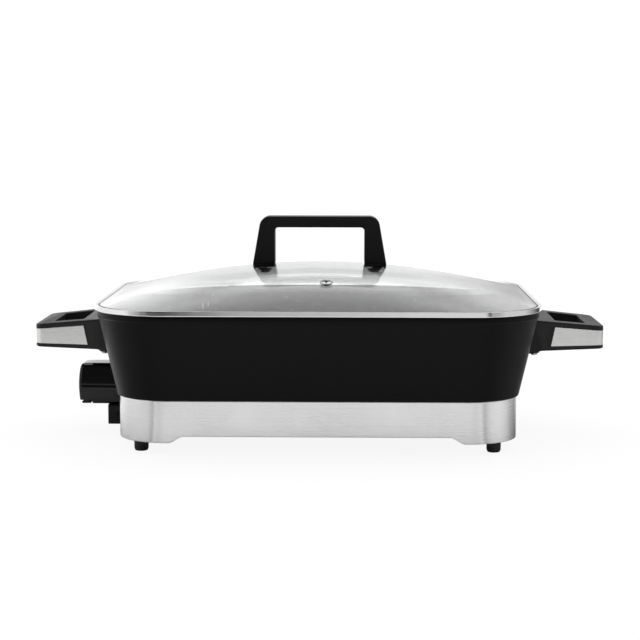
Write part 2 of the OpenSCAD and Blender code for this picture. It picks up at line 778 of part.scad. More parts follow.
module release_trigger() {
    color("#151515") {
        difference() {
            translate([-240, -11, 26.9]) cube([9, 22, tab_top - 26.9]);
            // finger grooves under the tab
            for (i = [0:2]) translate([-238.6 + i * 2.6, -9, 26.5]) cube([1, 18, 0.8]);
        }
        translate([-234.4, -5.9, 28.8]) cube([2.8, 11.8, 5.6]);
        translate([-234.6, -7.5, 34.1]) cube([9.8, 15, 1.5]);
    }
}

// coil spring under the switch
spring_r = 2.2;
wire_r = 0.35;
spring_z0 = 36.0;
spring_z1 = 40.9;
module trigger_spring() {
    n = 42; sides = 6; turns = 3.5;
    c = function(i) let (a = 360 * turns * i / n)
        [spring_r * cos(a), spring_r * sin(a),
         spring_z0 + (spring_z1 - spring_z0) * i / n];
    pts = [for (i = [0:n], j = [0:sides - 1])
        let (a = 360 * turns * i / n, b = 360 * j / sides, p = c(i))
        [p[0] + wire_r * cos(b) * cos(a), p[1] + wire_r * cos(b) * sin(a),
         p[2] + wire_r * sin(b)]];
    faces = concat(
        [[for (j = [0:sides - 1]) j]],
        [for (i = [0:n - 1], j = [0:sides - 1])
            [i * sides + j, (i + 1) * sides + j,
             (i + 1) * sides + (j + 1) % sides]],
        [for (i = [0:n - 1], j = [0:sides - 1])
            [i * sides + j, (i + 1) * sides + (j + 1) % sides,
             i * sides + (j + 1) % sides]],
        [[for (j = [sides - 1:-1:0]) n * sides + j]]);
    color("#b8babd") translate([-227.4, 0, 0]) polyhedron(pts, faces);
}

pan_body();
heating_element();
terminal_pins();
terminal_insulators();
heat_reflector();
reflector_spacers();
base_skirt();
base_plate();
base_screws();
feet();
foot_screws();
socket_guard();
guard_screws();
left_handle();
right_handle();
left_handle_inlay();
right_handle_inlay();
handle_screws();
lid_glass();
lid_rim();
lid_handle();
lid_handle_pads();
lid_handle_screws();
lid_handle_washers();
steam_vent();
control_upper_shell();
control_lower_shell();
probe_rod();
contact_sockets();
thermostat_switch();
indicator_lens();
cord_gland();
control_screws();
control_dial();
dial_shaft();
release_trigger();
trigger_spring();
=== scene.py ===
import math

import bmesh
import bpy
from mathutils import Matrix, Vector


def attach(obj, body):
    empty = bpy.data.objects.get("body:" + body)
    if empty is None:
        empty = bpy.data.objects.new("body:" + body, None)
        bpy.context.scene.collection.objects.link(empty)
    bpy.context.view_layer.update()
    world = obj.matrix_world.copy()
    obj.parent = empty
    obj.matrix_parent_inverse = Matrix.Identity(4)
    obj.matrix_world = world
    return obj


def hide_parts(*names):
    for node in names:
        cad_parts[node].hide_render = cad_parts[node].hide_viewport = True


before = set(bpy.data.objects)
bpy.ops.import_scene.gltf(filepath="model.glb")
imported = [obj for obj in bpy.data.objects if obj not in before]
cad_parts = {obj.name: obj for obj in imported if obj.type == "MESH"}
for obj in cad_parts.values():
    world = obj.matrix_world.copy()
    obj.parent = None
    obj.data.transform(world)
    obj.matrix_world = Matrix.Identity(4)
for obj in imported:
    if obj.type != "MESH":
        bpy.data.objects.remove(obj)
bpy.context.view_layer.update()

MM = 0.001

# ------------------------------------------------------------------ numbers
# Repeated from part.scad, in millimetres.
CX, CY = 141.5, 91.0
PAN_LIP_R, PAN_FOOT_R, PAN_RIM_Z, PAN_UNDER_Z = 69.0, 50.9, 132.0, 50.5
PAN_FLOOR_Z, PAN_FILLET_R = 56.5, 10.0
WALL_Z0, WALL_Z1 = PAN_UNDER_Z + 2.5, PAN_RIM_Z - 5.7
WALL_SLOPE = (PAN_LIP_R - 1.1 - PAN_FOOT_R) / (WALL_Z1 - WALL_Z0)
SKIRT_R, SKIRT_LOW, SKIRT_HIGH = 48.5, 11.0, 17.2
FOOT_X, FOOT_Y = 167.0, 116.0
GRIP_END_X, GRIP_HALF_Y, GRIP_TAPER, GRIP_END_TOP, GRIP_RISE, GRIP_CORNER = 279.6, 47.0, 0.11, 111.6, 0.0946, 8.0
GRIP_SCREW_X, GRIP_SCREW_Y = 211.5, 45.0
RIM_R, RIM_H = 71.0, 5.2
GLASS_R, DOME_H, GLASS_T = 66.5, 32.5, 4.0
GLASS_EDGE_Z = PAN_RIM_Z + 0.2 + RIM_H
LEG_X, GRIP_TOP, GRIP_DEPTH = 55.0, 216.2, 20.0
VENT_X, VENT_Y = 8.0, -95.5
CTL_HALF_Y, CTL_TOP, CTL_LOW = 18.0, 68.1, 27.3
CTL_IN, CTL_OUT, CTL_STEP = -197.5, -242.6, -229.0
PIN_Y, PIN_Z, PIN_R, PROBE_Z, PROBE_R = 11.5, 45.0, 2.3, 45.0, 4.0
DIAL_R, DIAL_Z = 12.5, 46.5
POSTS = ((-224.5, -12.7), (-231.6, 12.7))
SEAM_Z = 46.5


def wall_r(z):
    return PAN_FOOT_R + (z - WALL_Z0) * WALL_SLOPE


def inner_r(z):
    return wall_r(z) - 3.8


def glass_z(x, y):
    return GLASS_EDGE_Z + DOME_H * (1 - (x / (CX + GLASS_R)) ** 2 - (y / (CY + GLASS_R)) ** 2)


# ---------------------------------------------------------------- materials
def new_mat(name):
    m = bpy.data.materials.new(name)
    m.use_nodes = True
    nt = m.node_tree
    b = nt.nodes["Principled BSDF"]
    return m, nt, b


def node(nt, kind, **kw):
    n = nt.nodes.new(kind)
    for k, v in kw.items():
        setattr(n, k, v)
    return n


def coords(nt, scale=(1, 1, 1), rot=(0, 0, 0)):
    t = node(nt, "ShaderNodeTexCoord")
    mp = node(nt, "ShaderNodeMapping")
    mp.inputs["Scale"].default_value = scale
    mp.inputs["Rotation"].default_value = rot
    nt.links.new(t.outputs["Object"], mp.inputs["Vector"])
    return mp.outputs["Vector"]


def noise(nt, vec, scale, detail=3.0, rough=0.55, distort=0.0):
    n = node(nt, "ShaderNodeTexNoise")
    n.inputs["Scale"].default_value = scale
    n.inputs["Detail"].default_value = detail
    n.inputs["Roughness"].default_value = rough
    n.inputs["Distortion"].default_value = distort
    nt.links.new(vec, n.inputs["Vector"])
    return n.outputs["Fac"]


def remap(nt, fac, a, b, lo=0.3, hi=0.7):
    r = node(nt, "ShaderNodeMapRange")
    r.inputs["From Min"].default_value = lo
    r.inputs["From Max"].default_value = hi
    r.inputs["To Min"].default_value = a
    r.inputs["To Max"].default_value = b
    nt.links.new(fac, r.inputs["Value"])
    return r.outputs["Result"]


def ramp(nt, fac, stops):
    r = node(nt, "ShaderNodeValToRGB")
    cr = r.color_ramp
    while len(cr.elements) < len(stops):
        cr.elements.new(0.5)
    for e, (p, c) in zip(cr.elements, stops):
        e.position = p
        e.color = (*c, 1)
    nt.links.new(fac, r.inputs["Fac"])
    return r.outputs["Color"]


def bump(nt, bsdf, height, strength, dist, prev=None):
    b = node(nt, "ShaderNodeBump")
    b.inputs["Strength"].default_value = strength
    b.inputs["Distance"].default_value = dist
    nt.links.new(height, b.inputs["Height"])
    if prev is not None:
        nt.links.new(prev, b.inputs["Normal"])
    nt.links.new(b.outputs["Normal"], bsdf.inputs["Normal"])
    return b.outputs["Normal"]


def mul(nt, a, b):
    m = node(nt, "ShaderNodeMath", operation="MULTIPLY")
    for i, v in enumerate((a, b)):
        if isinstance(v, (int, float)):
            m.inputs[i].default_value = v
        else:
            nt.links.new(v, m.inputs[i])
    return m.outputs[0]


def add(nt, a, b):
    m = node(nt, "ShaderNodeMath", operation="ADD")
    for i, v in enumerate((a, b)):
        if isinstance(v, (int, float)):
            m.inputs[i].default_value = v
        else:
            nt.links.new(v, m.inputs[i])
    return m.outputs[0]


def link(nt, out, bsdf, name):
    nt.links.new(out, bsdf.inputs[name])


def g(v):
    return (v, v, v)


def mat_pan_coat():
    m, nt, b = new_mat("pan_coat_outside")
    v = coords(nt)
    big = noise(nt, v, 14, 3)
    link(nt, ramp(nt, big, [(0.3, (0.0022, 0.0022, 0.0023)), (0.7, (0.0029, 0.0028, 0.0028))]), b, "Base Color")
    fine = noise(nt, v, 1500, 2)
    link(nt, add(nt, remap(nt, big, 0.36, 0.42), remap(nt, fine, -0.03, 0.03)), b, "Roughness")
    b.inputs["Specular IOR Level"].default_value = 0.09
    bump(nt, b, add(nt, fine, mul(nt, noise(nt, v, 420, 2), 0.6)), 0.10, 0.0001)
    return m


def mat_pan_inside():
    m, nt, b = new_mat("pan_coat_inside")
    v = coords(nt)
    base = noise(nt, v, 60, 4)
    vo = node(nt, "ShaderNodeTexVoronoi", feature="F1")
    vo.inputs["Scale"].default_value = 330
    nt.links.new(v, vo.inputs["Vector"])
    # a speck only where a cell's own random value is high and the point is near its centre
    sep = node(nt, "ShaderNodeSeparateColor")
    nt.links.new(vo.outputs["Color"], sep.inputs["Color"])
    pick = remap(nt, sep.outputs["Red"], 0.0, 1.0, 0.80, 0.84)
    near = remap(nt, vo.outputs["Distance"], 1.0, 0.0, 0.18, 0.30)
    speck = mul(nt, pick, near)
    dark = ramp(nt, base, [(0.3, (0.018, 0.018, 0.019)), (0.7, (0.030, 0.030, 0.031))])
    mix = node(nt, "ShaderNodeMix", data_type="RGBA")
    nt.links.new(speck, mix.inputs["Factor"])
    nt.links.new(dark, mix.inputs[6])
    mix.inputs[7].default_value = (0.42, 0.42, 0.41, 1)
    link(nt, mix.outputs[2], b, "Base Color")
    link(nt, remap(nt, base, 0.30, 0.40), b, "Roughness")
    b.inputs["Specular IOR Level"].default_value = 0.45
    bump(nt, b, noise(nt, v, 900, 2), 0.12, 0.0001)
    return m


def mat_brushed(name, base, rough, streak=(6, 6, 900), lo=0.9, hi=1.06, aniso=0.5, turn=0.25):
    m, nt, b = new_mat(name)
    v = coords(nt, streak)
    n1 = noise(nt, v, 1.0, 5, 0.7)
    v2 = coords(nt, (streak[0] * 4, streak[1] * 4, streak[2] * 3))
    n2 = noise(nt, v2, 1.0, 3, 0.6)
    mixed = add(nt, mul(nt, n1, 0.6), mul(nt, n2, 0.4))
    link(nt, ramp(nt, mixed, [(0.3, tuple(c * lo for c in base)), (0.7, tuple(c * hi for c in base))]), b, "Base Color")
    cloud = noise(nt, coords(nt), 22, 3)
    r = add(nt, remap(nt, mixed, rough - 0.05, rough + 0.06), remap(nt, cloud, -0.02, 0.02))
    link(nt, r, b, "Roughness")
    b.inputs["Metallic"].default_value = 1.0
    b.inputs["Anisotropic"].default_value = aniso
    b.inputs["Anisotropic Rotation"].default_value = turn
    tg = node(nt, "ShaderNodeTangent", direction_type="RADIAL", axis="Z")
    link(nt, tg.outputs["Tangent"], b, "Tangent")
    bump(nt, b, mixed, 0.10, 0.00005)
    return m


def mat_polished(name, base=0.74, rough=0.10):
    m, nt, b = new_mat(name)
    v = coords(nt)
    smudge = noise(nt, v, 45, 4, 0.6)
    hair = noise(nt, coords(nt, (20, 20, 1600)), 1.0, 3)
    link(nt, ramp(nt, smudge, [(0.3, g(base * 0.97)), (0.7, g(base))]), b, "Base Color")
    link(nt, add(nt, remap(nt, smudge, rough, rough + 0.04), remap(nt, hair, -0.02, 0.02)), b, "Roughness")
    b.inputs["Metallic"].default_value = 1.0
    bump(nt, b, hair, 0.03, 0.00003)
    return m


def mat_glass():
    m, nt, b = new_mat("lid_glass_clear")
    v = coords(nt)
    b.inputs["Base Color"].default_value = (0.975, 0.985, 0.985, 1)
    b.inputs["Transmission Weight"].default_value = 1.0
    b.inputs["IOR"].default_value = 1.5
    link(nt, remap(nt, noise(nt, v, 60, 3), 0.0, 0.012), b, "Roughness")
    return m


def mat_glass_edge():
    # the ground edge of the pane, dark because little light comes back from it
    m, nt, b = new_mat("lid_glass_ground_edge")
    n = noise(nt, coords(nt), 700, 3)
    link(nt, ramp(nt, n, [(0.3, (0.022, 0.026, 0.026)), (0.7, (0.040, 0.046, 0.045))]), b, "Base Color")
    link(nt, remap(nt, n, 0.45, 0.6), b, "Roughness")
    bump(nt, b, n, 0.2, 0.0001)
    return m


def mat_plastic(name, base, rough, spec=0.5, grain=2200, strength=0.25, dist=0.00006, var=0.12):
    m, nt, b = new_mat(name)
    v = coords(nt)
    big = noise(nt, v, 30, 3)
    link(nt, ramp(nt, big, [(0.3, tuple(c * (1 - var) for c in base)), (0.7, tuple(c * (1 + var) for c in base))]), b, "Base Color")
    fine = noise(nt, v, grain, 2, 0.5)
    link(nt, add(nt, remap(nt, big, rough - 0.03, rough + 0.03), remap(nt, fine, -0.03, 0.03)), b, "Roughness")
    b.inputs["Specular IOR Level"].default_value = spec
    bump(nt, b, fine, strength, dist)
    return m


def mat_gloss(name, base, rough=0.05, spec=0.5):
    m, nt, b = new_mat(name)
    v = coords(nt)
    big = noise(nt, v, 25, 4)
    hair = noise(nt, coords(nt, (300, 40, 900), (0.3, 0.2, 0.1)), 1.0, 4, 0.7)
    link(nt, ramp(nt, big, [(0.3, tuple(c * 0.85 for c in base)), (0.7, tuple(c * 1.1 for c in base))]), b, "Base Color")
    link(nt, add(nt, remap(nt, big, rough, rough + 0.04), remap(nt, hair, -0.015, 0.03)), b, "Roughness")
    b.inputs["Specular IOR Level"].default_value = spec
    bump(nt, b, big, 0.015, 0.0008)
    return m


def mat_spangle(name, base, rough):
    m, nt, b = new_mat(name)
    vo = node(nt, "ShaderNodeTexVoronoi", feature="F1")
    vo.inputs["Scale"].default_value = 140
    v = coords(nt)
    nt.links.new(v, vo.inputs["Vector"])
    sep = node(nt, "ShaderNodeSeparateColor")
    nt.links.new(vo.outputs["Color"], sep.inputs["Color"])
    f = sep.outputs["Red"]
    link(nt, ramp(nt, f, [(0.0, g(base * 0.86)), (1.0, g(base * 1.08))]), b, "Base Color")
    link(nt, remap(nt, f, rough - 0.06, rough + 0.08, 0, 1), b, "Roughness")
    b.inputs["Metallic"].default_value = 1.0
    bump(nt, b, noise(nt, v, 500, 2), 0.08, 0.0001)
    return m


def mat_metal(name, base, rough, scale=300):
    m, nt, b = new_mat(name)
    v = coords(nt)
    n = noise(nt, v, scale, 4)
    link(nt, ramp(nt, n, [(0.3, tuple(c * 0.85 for c in base)), (0.7, tuple(c * 1.08 for c in base))]), b, "Base Color")
    link(nt, remap(nt, n, rough - 0.05, rough + 0.08), b, "Roughness")
    b.inputs["Metallic"].default_value = 1.0
    bump(nt, b, noise(nt, v, scale * 5, 2), 0.06, 0.00005)
    return m


def mat_rubber(name, base, rough=0.7):
    return mat_plastic(name, base, rough, 0.35, 1400, 0.4, 0.0001, 0.18)


M = {}
M["coat"] = mat_pan_coat()
M["inside"] = mat_pan_inside()
M["skirt"] = mat_brushed("skirt_steel", (0.73, 0.73, 0.73), 0.25, aniso=0.6)
M["inlay"] = mat_brushed("inlay_steel", (0.64, 0.64, 0.635), 0.28, (8, 8, 1100), turn=0.0)
M["rim"] = mat_polished("rim_steel", 0.76, 0.07)
M["eyelet"] = mat_polished("eyelet_steel", 0.30, 0.22)
M["glass"] = mat_glass()
M["glass_edge"] = mat_glass_edge()
M["phenolic"] = mat_plastic("phenolic_black", (0.0085, 0.0085, 0.0088), 0.47, 0.24, 1500, 0.35, 0.00009)
M["phenolic_lid"] = mat_plastic("phenolic_lid_black", (0.0098, 0.0098, 0.0100), 0.40, 0.15, 1500, 0.30, 0.00008)
M["guard"] = mat_plastic("guard_black", (0.0065, 0.0065, 0.0067), 0.42, 0.25, 1400, 0.3, 0.00008)
M["gloss"] = mat_gloss("gloss_black", (0.0028, 0.0028, 0.0030), 0.05, 0.34)
M["dial"] = mat_plastic("dial_black", (0.010, 0.010, 0.0105), 0.34, 0.45, 1800, 0.2, 0.00005)
M["rubber"] = mat_rubber("foot_rubber", (0.023, 0.023, 0.023))
M["silicone"] = mat_plastic("silicone_black", (0.008, 0.008, 0.008), 0.45, 0.35, 900, 0.15, 0.00006)
M["screw"] = mat_metal("zinc_screw", (0.56, 0.56, 0.57), 0.28)
M["sheet"] = mat_spangle("galvanised_sheet", 0.46, 0.36)
M["reflector"] = mat_metal("bright_aluminium", (0.72, 0.73, 0.74), 0.22, 120)
M["sheath"] = mat_metal("oxidised_sheath", (0.16, 0.145, 0.13), 0.48, 260)
M["pin"] = mat_polished("plated_pin", 0.66, 0.16)
M["ceramic"] = mat_plastic("glazed_ceramic", (0.66, 0.63, 0.56), 0.22, 0.5, 700, 0.1, 0.00005, 0.05)
M["brass"] = mat_metal("brass_contact", (0.62, 0.46, 0.2), 0.26)
M["switch"] = mat_plastic("switch_moulding", (0.5, 0.45, 0.36), 0.5, 0.4, 900, 0.2, 0.00006, 0.06)
M["lens"] = mat_gloss("red_lens", (0.30, 0.012, 0.010), 0.08)
M["gland"] = mat_plastic("gland_black", (0.010, 0.010, 0.010), 0.5, 0.35)


def mat_mark():
    m, nt, b = new_mat("dial_marking")
    v = coords(nt)
    n = noise(nt, v, 900, 3)
    link(nt, ramp(nt, n, [(0.3, (0.55, 0.55, 0.54)), (0.7, (0.68, 0.68, 0.67))]), b, "Base Color")
    link(nt, remap(nt, n, 0.5, 0.6), b, "Roughness")
    return m


M["mark"] = mat_mark()


# ------------------------------------------------------------ mesh helpers
def make(name, verts, faces, mat, body=None, slot=None, sharp=32, mats=None, face_mat=None):
    """verts in millimetres."""
    me = bpy.data.meshes.new(name)
    me.from_pydata([tuple(c * MM for c in v) for v in verts], [], faces)
    me.validate()
    bm = bmesh.new()
    bm.from_mesh(me)
    bmesh.ops.remove_doubles(bm, verts=bm.verts, dist=1e-6)
    bmesh.ops.recalc_face_normals(bm, faces=bm.faces)
    bm.to_mesh(me)
    bm.free()
    ob = bpy.data.objects.new(name, me)
    bpy.context.scene.collection.objects.link(ob)
    for x in (mats or [mat]):
        me.materials.append(x)
    if face_mat:
        for p in me.polygons:
            p.material_index = face_mat(p)
    shade(ob, sharp)
    if body:
        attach(ob, body)
    return ob


def shade(ob, sharp=32):
    me = ob.data
    me.shade_smooth()
    me.set_sharp_from_angle(angle=math.radians(sharp))


def applied(ob, sharp=32):
    """Puts the object's modifiers into its mesh."""
    dg = bpy.context.evaluated_depsgraph_get()
    me = bpy.data.meshes.new_from_object(ob.evaluated_get(dg))
    old = ob.data
    ob.modifiers.clear()
    ob.data = me
    me.name = old.name
    bpy.data.meshes.remove(old)
    shade(ob, sharp)


def boolean(ob, cutter, op="DIFFERENCE", sharp=32):
    m = ob.modifiers.new("b", "BOOLEAN")
    m.operation = op
    m.object = cutter
    m.solver = "EXACT"
    applied(ob, sharp)
    me = cutter.data
    bpy.data.objects.remove(cutter)
    bpy.data.meshes.remove(me)


def bevel(ob, width, segs=3, angle=32, sharp=40, weight=True):
    m = ob.modifiers.new("bevel", "BEVEL")
    m.width = width * MM
    m.segments = segs
    m.limit_method = "ANGLE"
    m.angle_limit = math.radians(angle)
    m.use_clamp_overlap = True
    m.miter_outer = "MITER_ARC"
    applied(ob, sharp)
    if weight:
        w = ob.modifiers.new("wn", "WEIGHTED_NORMAL")
        w.keep_sharp = True
        w.weight = 60


def own(ob, body, slot, *replaced):
    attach(ob, body)
    if replaced:
        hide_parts(*replaced)


def join(name, obs):
    """One object from several, with their materials kept."""
    bm = bmesh.new()
    mats = []
    for o in obs:
        base = len(mats)
        start = len(bm.faces)
        for mt in o.data.materials:
            mats.append(mt)
        bm.from_mesh(o.data)
        bm.faces.ensure_lookup_table()
        for f in bm.faces[start:]:
            f.material_index += base
    me = bpy.data.meshes.new(name)
    bm.to_mesh(me)
    bm.free()
    uniq = []
    for mt in mats:
        if mt not in uniq:
            uniq.append(mt)
    idx = [uniq.index(mt) for mt in mats]
    for mt in uniq:
        me.materials.append(mt)
    for p in me.polygons:
        p.material_index = idx[p.material_index]
    ob = bpy.data.objects.new(name, me)
    bpy.context.scene.collection.objects.link(ob)
    for o in obs:
        dead = o.data
        bpy.data.objects.remove(o)
        bpy.data.meshes.remove(dead)
    return ob


def stations(n=24, sx=14, sy=9, cx=CX, cy=CY, xs=None, ys=None):
    """Skeleton points and outward normals round a rounded rectangle."""
    xs = xs or [cx * (2 * i / sx - 1) for i in range(1, sx)]
    ys = ys or [cy * (2 * i / sy - 1) for i in range(1, sy)]
    out = []
    for k, (sx_, sy_) in enumerate(((1, 1), (-1, 1), (-1, -1), (1, -1))):
        for i in range(n + 1):
            a = math.radians(90 * k + 90 * i / n)
            out.append((sx_ * cx, sy_ * cy, math.cos(a), math.sin(a)))
        if k == 0:
            out += [(x, cy, 0, 1) for x in reversed(xs)]
        elif k == 1:
            out += [(-cx, y, -1, 0) for y in reversed(ys)]
        elif k == 2:
            out += [(x, -cy, 0, -1) for x in xs]
        else:
            out += [(cx, y, 1, 0) for y in ys]
    return out


def sweep(st, profile, closed=False, cap0=False, cap1=False):
    """profile holds (r, z); z may be a function of the station."""
    verts, faces = [], []
    n = len(st)
    for r, z in profile:
        for s in st:
            bx, by, nx, ny = s
            verts.append((bx + r * nx, by + r * ny, z(s) if callable(z) else z))
    m = len(profile)
    for i in range(m if closed else m - 1):
        a, b = i * n, ((i + 1) % m) * n
        for j in range(n):
            k = (j + 1) % n
            faces.append((a + j, a + k, b + k, b + j))
    if cap0:
        faces.append(tuple(range(n)))
    if cap1:
        faces.append(tuple(range((m - 1) * n, m * n)))
    return verts, faces


def lathe(profile, n=48, at=(0, 0, 0), axis="Z", cap=True):
    """profile holds (r, h) along the axis; r = 0 closes an end."""
    verts, faces, rings = [], [], []
    for r, h in profile:
        if r <= 1e-6:
            rings.append([len(verts)])
            verts.append((0, 0, h))
        else:
            rings.append(list(range(len(verts), len(verts) + n)))
            verts += [(r * math.cos(2 * math.pi * i / n), r * math.sin(2 * math.pi * i / n), h) for i in range(n)]
    for a, b in zip(rings, rings[1:]):
        for i in range(n):
            j = (i + 1) % n
            if len(a) == 1 and len(b) == 1:
                continue
            if len(a) == 1:
                faces.append((a[0], b[i], b[j]))
            elif len(b) == 1:
                faces.append((a[i], b[0], a[j]))
            else:
                faces.append((a[i], a[j], b[j], b[i]))
    if cap and profile[0] == profile[-1]:
        pass
    out = []
    for x, y, z in verts:
        if axis == "X":
            x, y, z = z, x, y
        elif axis == "-X":
            x, y, z = -z, x, -y
        elif axis == "Y":
            x, y, z = y, z, x
        elif axis == "-Z":
            x, y, z = x, -y, -z
        out.append((x + at[0], y + at[1], z + at[2]))
    return out, faces


def prism(poly, lo, hi, axis="Z"):
    """A straight prism over a polygon. axis Z: poly is (x, y); Y: (x, z); X: (y, z)."""
    n = len(poly)
    v = []
    for h in (lo, hi):
        for a, b in poly:
            v.append({"Z": (a, b, h), "Y": (a, h, b), "X": (h, a, b)}[axis])
    f = [(i, (i + 1) % n, n + (i + 1) % n, n + i) for i in range(n)]
    f += [tuple(range(n)), tuple(range(n, 2 * n))]
    return v, f


def arc(cx, cz, r, a0, a1, n=6):
    return [(cx + r * math.cos(math.radians(a0 + (a1 - a0) * i / n)),
             cz + r * math.sin(math.radians(a0 + (a1 - a0) * i / n))) for i in range(n + 1)]


def cutter(v, f):
    return make("cut", v, f, M["coat"])


def rounded(poly, r, n=5):
    """Polygon with its corners rounded; r is one radius or one for each corner."""
    out = []
    k = len(poly)
    for i, p in enumerate(poly):
        rad = r[i] if isinstance(r, (list, tuple)) else r
        a, b, c = Vector(poly[i - 1]), Vector(p), Vector(poly[(i + 1) % k])
        if rad <= 0:
            out.append(tuple(b))
            continue
        u, w = (a - b).normalized(), (c - b).normalized()
        half = u.angle(w) / 2
        t = rad / math.tan(half)
        centre = b + (u + w).normalized() * (rad / math.sin(half))
        p0, p1 = b + u * t, b + w * t
        a0 = math.atan2(p0.y - centre.y, p0.x - centre.x)
        a1 = math.atan2(p1.y - centre.y, p1.x - centre.x)
        d = (a1 - a0 + math.pi) % (2 * math.pi) - math.pi
        for j in range(n + 1):
            th = a0 + d * j / n
            out.append((centre.x + rad * math.cos(th), centre.y + rad * math.sin(th)))
    return out


def cylinder(r, lo, hi, at, axis="Z", n=40):
    return lathe([(0, lo), (r, lo), (r, hi), (0, hi)], n, at, axis)


def tool(r, lo, hi, at, axis="Z", n=40):
    return cutter(*cylinder(r, lo, hi, at, axis, n))


def screw_mesh(name, places, direction, head_r, head_h, shank_r, length, mat):
    """Screws whose heads face away from direction; places are the seats under the heads."""
    obs = []
    for at in places:
        prof = [(0, -head_h)]
        prof += [(head_r * 0.72, -head_h + 0.02 * head_r), (head_r * 0.93, -head_h * 0.72), (head_r, -head_h * 0.35), (head_r, -0.05)]
        prof += [(head_r - 0.1, 0), (shank_r, 0)]
        k = 0.0
        while k < length - 1.6:
            prof += [(shank_r, k + 0.2), (shank_r * 0.86, k + 0.55), (shank_r, k + 0.9)] if k > 3 else [(shank_r, k + 0.9)]
            k += 0.9
        prof += [(shank_r, length - 0.8), (shank_r * 0.6, length), (0, length)]
        v, f = lathe(prof, 28, (0, 0, 0), "Z")
        ob = make(name, v, f, mat, sharp=40)
        # cross recess, pressed into the head
        a = head_r * 0.58
        for w in ((a, head_r * 0.13), (head_r * 0.13, a)):
            c = cutter(*prism([(-w[0], -w[1]), (w[0], -w[1]), (w[0], w[1]), (-w[0], w[1])], -head_h - 1, -head_h + min(1.1, head_h * 0.6)))
            boolean(ob, c, sharp=40)
        if direction == "X":
            ob.data.transform(Matrix.Rotation(math.radians(90), 4, "Y"))
        ob.data.transform(Matrix.Translation(Vector(at) * MM))
        obs.append(ob)
    ob = join(name, obs)
    shade(ob, 40)
    return ob


# ---------------------------------------------------------------------- pan
def build_pan():
    a = math.degrees(math.atan(WALL_SLOPE))
    fc = inner_r(PAN_FLOOR_Z + PAN_FILLET_R) - PAN_FILLET_R / math.cos(math.radians(a))
    prof = [(8, PAN_FLOOR_Z), (28, PAN_FLOOR_Z), (fc - 1.5, PAN_FLOOR_Z)]
    prof += arc(fc, PAN_FLOOR_Z + PAN_FILLET_R, PAN_FILLET_R, -90, -a, 9)
    for z in (68.5, 80, 100, 120, PAN_RIM_Z - 1.8):
        prof.append((inner_r(z), z))
    zi = PAN_RIM_Z - 1.0
    ri = inner_r(zi)
    prof += [(ri, zi), (ri + 0.25, zi + 0.55), (ri + 0.9, zi + 0.95), (ri + 1.4, PAN_RIM_Z)]
    prof += arc(PAN_LIP_R - 1.0, PAN_RIM_Z - 1.0, 1.0, 90, 0, 4)
    prof += [(PAN_LIP_R, WALL_Z1 + 1.9)]
    prof += [(PAN_LIP_R - 0.05, WALL_Z1 + 1.2), (PAN_LIP_R - 0.3, WALL_Z1 + 0.55), (PAN_LIP_R - 0.75, WALL_Z1 + 0.2), (wall_r(WALL_Z1 - 0.2), WALL_Z1 - 0.25)]
    for z in (WALL_Z1 - 1.2, 110, 90, 70, PAN_UNDER_Z + 4.0):
        prof.append((wall_r(z), z))
    # the edge laps a little over the top of the skirt
    prof += arc(PAN_FOOT_R - 2.0, PAN_UNDER_Z + 2.6, 2.0, -a, -90, 6)
    prof += [(SKIRT_R - 1.1, PAN_UNDER_Z + 0.6), (SKIRT_R - 1.2, PAN_UNDER_Z + 0.5), (SKIRT_R - 1.25, PAN_UNDER_Z), (28, PAN_UNDER_Z), (8, PAN_UNDER_Z)]
    st = stations(32, 18, 12)
    v, f = sweep(st, prof, cap0=True, cap1=True)
    lim = PAN_RIM_Z - 0.5

    def which(p):
        # the cooking side wears the speckled coating
        c, n = p.center / MM, p.normal
        if c.z < PAN_FLOOR_Z - 0.5:
            return 0
        if abs(n.z) > 0.9 and c.z < PAN_FLOOR_Z + 1:
            return 1
        out = Vector((max(0, abs(c.x) - CX) * (1 if c.x > 0 else -1), max(0, abs(c.y) - CY) * (1 if c.y > 0 else -1)))
        return 1 if out.dot(Vector((n.x, n.y))) < 0 and c.z < lim + 0.4 else 0

    shell = make("pan_shell", v, f, None, mats=[M["coat"], M["inside"]], face_mat=which, sharp=38)
    parts = [shell]
    # rib that carries the element
    lst = stations(20, 6, 4, 110, 58)
    # with a round channel along it for the element
    chan = [(p, z) for p, z in arc(24.0, 45.0, 3.3, 180, 0, 14)]
    v, f = sweep(lst, [(17.5, PAN_UNDER_Z + 0.5), (17.5, 45.6), (18.1, 45)] + chan + [(29.9, 45), (30.5, 45.6), (30.5, PAN_UNDER_Z + 0.5)], closed=True)
    parts.append(make("rib", v, f, M["coat"]))
    # probe tunnel with its mouth
    t = make("tunnel", *prism(rounded([(-7, 39.5), (7, 39.5), (7, 50.8), (-7, 50.8)], [3, 3, 0, 0]), -170, -112, "X"), M["coat"])
    boolean(t, tool(PROBE_R + 0.06, -1, 54, (-170, 0, PROBE_Z), "X"))
    parts.append(t)
    for sx in (-1, 1):
        for sy in (-1, 1):
            v, f = lathe([(0, 30), (4.4, 30), (4.8, 30.4), (4.8, 36.8), (6.6, 36.8), (7, 37.2), (7, 49.6), (7.9, 50.6), (0, 50.6)], 40, (sx * 70, sy * 45, 0))
            parts.append(make("pillar", v, f, M["coat"]))
            x0 = CX + wall_r(96) - 1.2
            lug = make("lug", *prism(rounded([(x0, 96), (219, 96), (219, 105), (x0, 105)], [0, 1.5, 1.5, 0]), sy * 45 - 5, sy * 45 + 5, "Y"), M["coat"])
            if sx < 0:
                lug.data.transform(Matrix.Scale(-1, 4, (1, 0, 0)))
                lug.data.flip_normals()
            parts.append(lug)
    ob = join("pan_cast", parts)
    shade(ob, 38)
    own(ob, "base", "pan_coat", "pan_body")
    return ob


